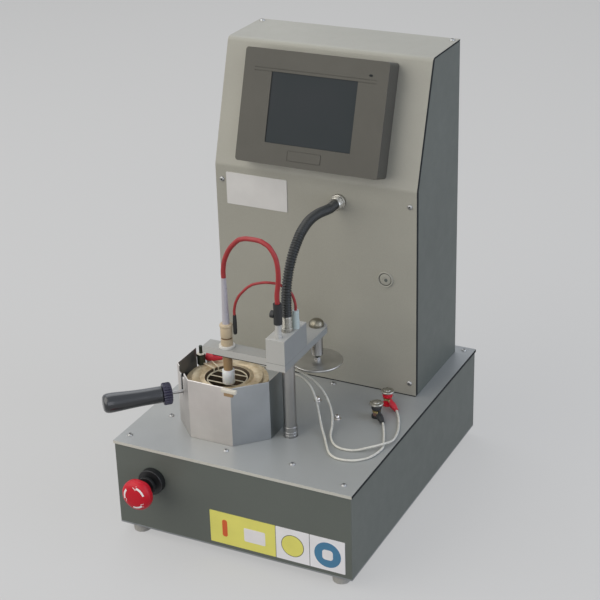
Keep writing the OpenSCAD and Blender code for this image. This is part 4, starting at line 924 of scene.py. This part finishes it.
nut_profile = [(0, 0), (7.3, 0), (7.6, 0.4), (7.6, 4.8), (7.2, 5.2)] + thread(5.6, 8, 1.6, 6.2, 6.9) + [
    (6.8, 18.8), (6.6, 19.8), (0, 20)]
lathe("conduit_ferrule", nut_profile, (*COLUMN, NUT_Z), UPWARD, BODY_OF["conduit_nut"], M["nickel"], 48,
      replaces=("conduit_nut",))
gland_profile = [(0, -12), (7.9, -12), (7.9, -6.6), (10.4, -6.6), (10.4, -1.6), (7.9, -1.6), (7.9, 0),
                 (9.8, 0), (10, 0.4), (10, 3.4), (9.4, 4)] + thread(4.4, 4, 2, 7.9, 8.6) + [
    (8.2, 12.8), (7.4, 14), (0, 14)]
lathe("look_gland", gland_profile, (CONDUIT[0][0], TOWER_FRONT, CONDUIT[0][2]), FORWARD, "base",
      M["nickel"], 48, replaces=("conduit_gland",))
socket_profile = [(0, -17), (8.4, -17), (8.4, 0), (10.5, 0), (10.7, 0.5), (10.4, 1.5), (9.6, 1.9),
                  (8.8, 1.6), (8.5, 0.6), (7.9, 0.5), (7.4, 1.1), (6.6, 1.4), (3.2, 1.5), (2.6, 1), (0, 1)]
socket_at = (SOCKET[0], TOWER_FRONT, SOCKET[1])
lathe("look_socket", socket_profile, socket_at, FORWARD, "base", M["tower"], 56, replaces=("panel_socket",))
# A dark ring in the socket's recess: painted shade
lathe("socket_groove_painted_shade", [(0, 0.3), (8.5, 0.3), (8.5, 0.8), (0, 0.8)], socket_at, FORWARD, "base",
      M["line"], 56, slot="plain_steel")
lathe("socket_pin", [(0, 0.8), (2.2, 0.8), (2.2, 1.9), (1.6, 2.3), (0, 2.4)],
      (SOCKET[0] + 1.2, TOWER_FRONT, SOCKET[1] - 0.5), FORWARD, "base", M["dark"], 32, slot="plain_steel")
# A dark strip under the arm: painted shadow
flat_shape("arm_painted_shadow", rounded(-60, -125.2, 19, -106.4, 0.5, 2),
           lambda u, v, out: millimetres(u, v, ARM_BOTTOM + out), "head", M["gap"], 1.2, "grey_paint")
dress("igniter_stem", M["stem"], 0, [(M["tan_tube"], lambda c, n: c.z < 246)])
dress("igniter_sleeve", M["ptfe"], 0)
dress("spark_boot", M["rubber"], 0.3, [(M["head"], lambda c, n: c.z < 294.6)])
dress("probe_plug", M["connector"], 0.4)
dress("lid_post", M["column"], 0.2, [
    (M["dome"], lambda c, n: c.z > HEAD_TOP + 0.05), (M["dark_steel"], lambda c, n: c.z < 204.65)])
dress("lid_disc", M["disc"], 0.2, [(M["column"], lambda c, n: c.z > 196.75)])
fitting_profile = [(0, 3), (7.1, 3), (7.4, 3.4), (7.4, 7), (7.1, 7.3), (7.4, 7.6), (7.4, 11.4), (6.3, 12),
                   (6.1, 13.2), (7.3, 14), (7.4, 14.4), (7.4, 26.4), (7.1, 27), (7.9, 27.7), (8.2, 28.6),
                   (8.1, 30), (7.3, 31.2), (6, 31.8), (5, 31.6), (0, 31.6)]
igniter_at = (*IGNITER, HEAD_TOP)
lathe("igniter_gland", fitting_profile, igniter_at, UPWARD, "head", M["peek"], 72,
      replaces=("igniter_fitting",))
# A brown ring in the fitting's groove: painted shade
lathe("igniter_groove_painted_shade", [(0, 11.7), (6.8, 11.7), (6.8, 13.3), (0, 13.3)], igniter_at, UPWARD, "head",
      M["groove"], 64, slot="peek")
lathe("igniter_washer", [(0, 0), (9.8, 0), (10, 0.3), (10, 2.6), (9.6, 3), (0, 3)], igniter_at, UPWARD,
      "head", M["washer"], 64, slot="ptfe")
SLEEVE_LEN = 26
lathe("probe_sleeve", [(0, 0), (1.7, 0), (2.3, 1), (2.5, 4), (2.5, 17), (2.2, 22), (2, SLEEVE_LEN),
                       (0, SLEEVE_LEN)],
      (PROBE[-1][0], PROBE[-1][1], PROBE[-1][2] - SLEEVE_LEN), UPWARD, "head", M["rubber"], 32,
      slot="black_rubber")

# Binding posts

dress("posts", M["post_body"], 0.2, [
    (M["black"], lambda c, n: c.z < 135.02 and c.y < -5), (M["red_cap"], lambda c, n: c.y > -5)])
dress("lead_sleeves", M["post_brass"], 0.1, [
    (M["red_boot"], lambda c, n: c.x > 119.5 and c.y > -5),
    (M["rubber"], lambda c, n: c.x > 118.5 and c.y < -22)])
cap_profile = [(0, 0), (5.6, 0), (6.2, 0.5), (6.4, 1.1), (6.4, 6.2), (6, 6.9), (0, 7)]
cap_top = [(0, 6.8), (8.2, 6.8), (8.9, 7.3), (8.9, 8.5), (8.3, 9.1), (4.4, 9.5), (4, 10.1), (2.4, 10.7),
           (0, 10.9)]
sleeve_profile = [(0, 0), (2.8, 0), (3.7, 0.8), (4.2, 2.6), (4.2, 6.4), (3.6, 10), (2.6, 13.6), (2.2, 15.2),
                  (0, 15.4)]
SLEEVE_BACK = 15
POSTS = (("post_cap_black", -21, "black", "rubber", "black_rubber", BLACK[0]),
         ("post_cap_red", 14, "red_cap", "red_boot", "red_rubber", RED[0]))
for node, y, material, sleeve, sleeve_slot, lead_end in POSTS:
    cap_at = (POST_X, y, POST_CAP_Z)
    lathe("look_" + node, cap_profile, cap_at, UPWARD, BODY_OF[node], M[material], 144,
          flute=(0.8, 6, 18, 0.6), replaces=(node,), smooth=50)
    lathe(node + "_top", cap_top, cap_at, UPWARD, BODY_OF[node], M["nickel"], 64, slot="bright_steel")
    way = (Vector(lead_end) - Vector((POST_X, y, POST_HOLE_Z))).normalized()
    lathe(node + "_sleeve", sleeve_profile, Vector(lead_end) - way * SLEEVE_BACK, way, "base",
          M[sleeve], 32, slot=sleeve_slot)

# Inner and rear pieces keep their solids and get their finishes

REST = {
    "column_pulley": "alu", "lift_carriage": "alu", "drive_belt": "rubber", "motor_pulley": "alu",
    "lift_actuator": "inner_steel", "power_units": "inner_steel", "mains_inlet": "black",
    "rocker": "black_gloss", "fan_frame": "black", "fan_rotor": "black"}
for node, key in REST.items():
    for held in frame["nodes"][node].material_slots:
        held.material = M[key]


# Floor and light

def seen_rays(tree):
    """One for rays from the camera, off gloss and through glass, which see the pale background."""
    path = tree.nodes.new("ShaderNodeLightPath")
    seen = path.outputs["Is Camera Ray"]
    for kind in ("Is Glossy Ray", "Is Transmission Ray"):
        either = tree.nodes.new("ShaderNodeMath")
        either.operation = "MAXIMUM"
        tree.links.new(seen, either.inputs[0])
        tree.links.new(path.outputs[kind], either.inputs[1])
        seen = either.outputs[0]
    return seen


FLOOR_HALF = 30
FLOOR_GREY = 0.2
FLOOR_GLOW = 0.4
SKY = 0.36
SKY_SHEEN = 0.46


def add_floor():
    """A wide floor, lit a little for the rays that see the background, so that shadows stay on it."""
    h = FLOOR_HALF
    mesh = bpy.data.meshes.new("floor")
    mesh.from_pydata([(-h, -h, 0), (h, -h, 0), (h, h, 0), (-h, h, 0)], [], [(0, 1, 2, 3)])
    floor = bpy.data.objects.new("floor", mesh)
    bpy.context.scene.collection.objects.link(floor)
    material = bpy.data.materials.new("pale_floor")
    material.use_nodes = True
    tree = material.node_tree
    tree.nodes.clear()
    out = tree.nodes.new("ShaderNodeOutputMaterial")
    diffuse = tree.nodes.new("ShaderNodeBsdfDiffuse")
    diffuse.inputs["Color"].default_value = (FLOOR_GREY, FLOOR_GREY, FLOOR_GREY, 1)
    glow = tree.nodes.new("ShaderNodeEmission")
    glow.inputs["Color"].default_value = (1, 1, 0.995, 1)
    dim = tree.nodes.new("ShaderNodeMath")
    dim.operation = "MULTIPLY"
    dim.inputs[1].default_value = FLOOR_GLOW
    tree.links.new(seen_rays(tree), dim.inputs[0])
    tree.links.new(dim.outputs[0], glow.inputs["Strength"])
    add = tree.nodes.new("ShaderNodeAddShader")
    tree.links.new(diffuse.outputs[0], add.inputs[0])
    tree.links.new(glow.outputs[0], add.inputs[1])
    tree.links.new(add.outputs[0], out.inputs["Surface"])
    mesh.materials.append(material)


LAMP_TARGET = (0, 0, 0.25)
LAMPS = {  # place, size, power and colour
    "key": ((-1.8, -2.0, 2.0), 3.8, 84, (1.0, 0.955, 0.875)),
    "side": ((2.8, -0.3, 0.55), 1.5, 19, (0.75, 0.82, 1.0)),
    "high_side": ((2.1, 0.5, 1.9), 1.5, 14, (0.7, 0.8, 1.0)),
    "fill": ((1.5, -2.6, 1.2), 2.0, 15, (0.93, 0.95, 1.0)),
    "top": ((-1.2, 1.0, 2.4), 2.0, 18, (0.97, 0.98, 1.0))}


def add_lamp(name, at, size, power, colour):
    """A square soft lamp aimed at the middle of the object."""
    data = bpy.data.lights.new(name, "AREA")
    data.size = size
    data.energy = power
    data.color = colour
    lamp = bpy.data.objects.new(name, data)
    lamp.location = at
    lamp.rotation_euler = (Vector(LAMP_TARGET) - Vector(at)).to_track_quat("-Z", "Y").to_euler()
    bpy.context.scene.collection.objects.link(lamp)


def add_world():
    """A plain sky, brighter for the rays that see the background."""
    world = bpy.data.worlds.new("studio")
    bpy.context.scene.world = world
    world.use_nodes = True
    sky = world.node_tree.nodes["Background"]
    sky.inputs["Color"].default_value = (0.89, 0.93, 1.0, 1)
    tree = world.node_tree
    strength = tree.nodes.new("ShaderNodeMath")
    strength.operation = "MULTIPLY_ADD"
    strength.inputs[1].default_value = SKY_SHEEN
    strength.inputs[2].default_value = SKY
    tree.links.new(seen_rays(tree), strength.inputs[0])
    tree.links.new(strength.outputs[0], sky.inputs["Strength"])


add_floor()
add_world()
for name, settings in LAMPS.items():
    add_lamp(name, *settings)

scene = bpy.context.scene
scene.view_settings.view_transform = "Standard"
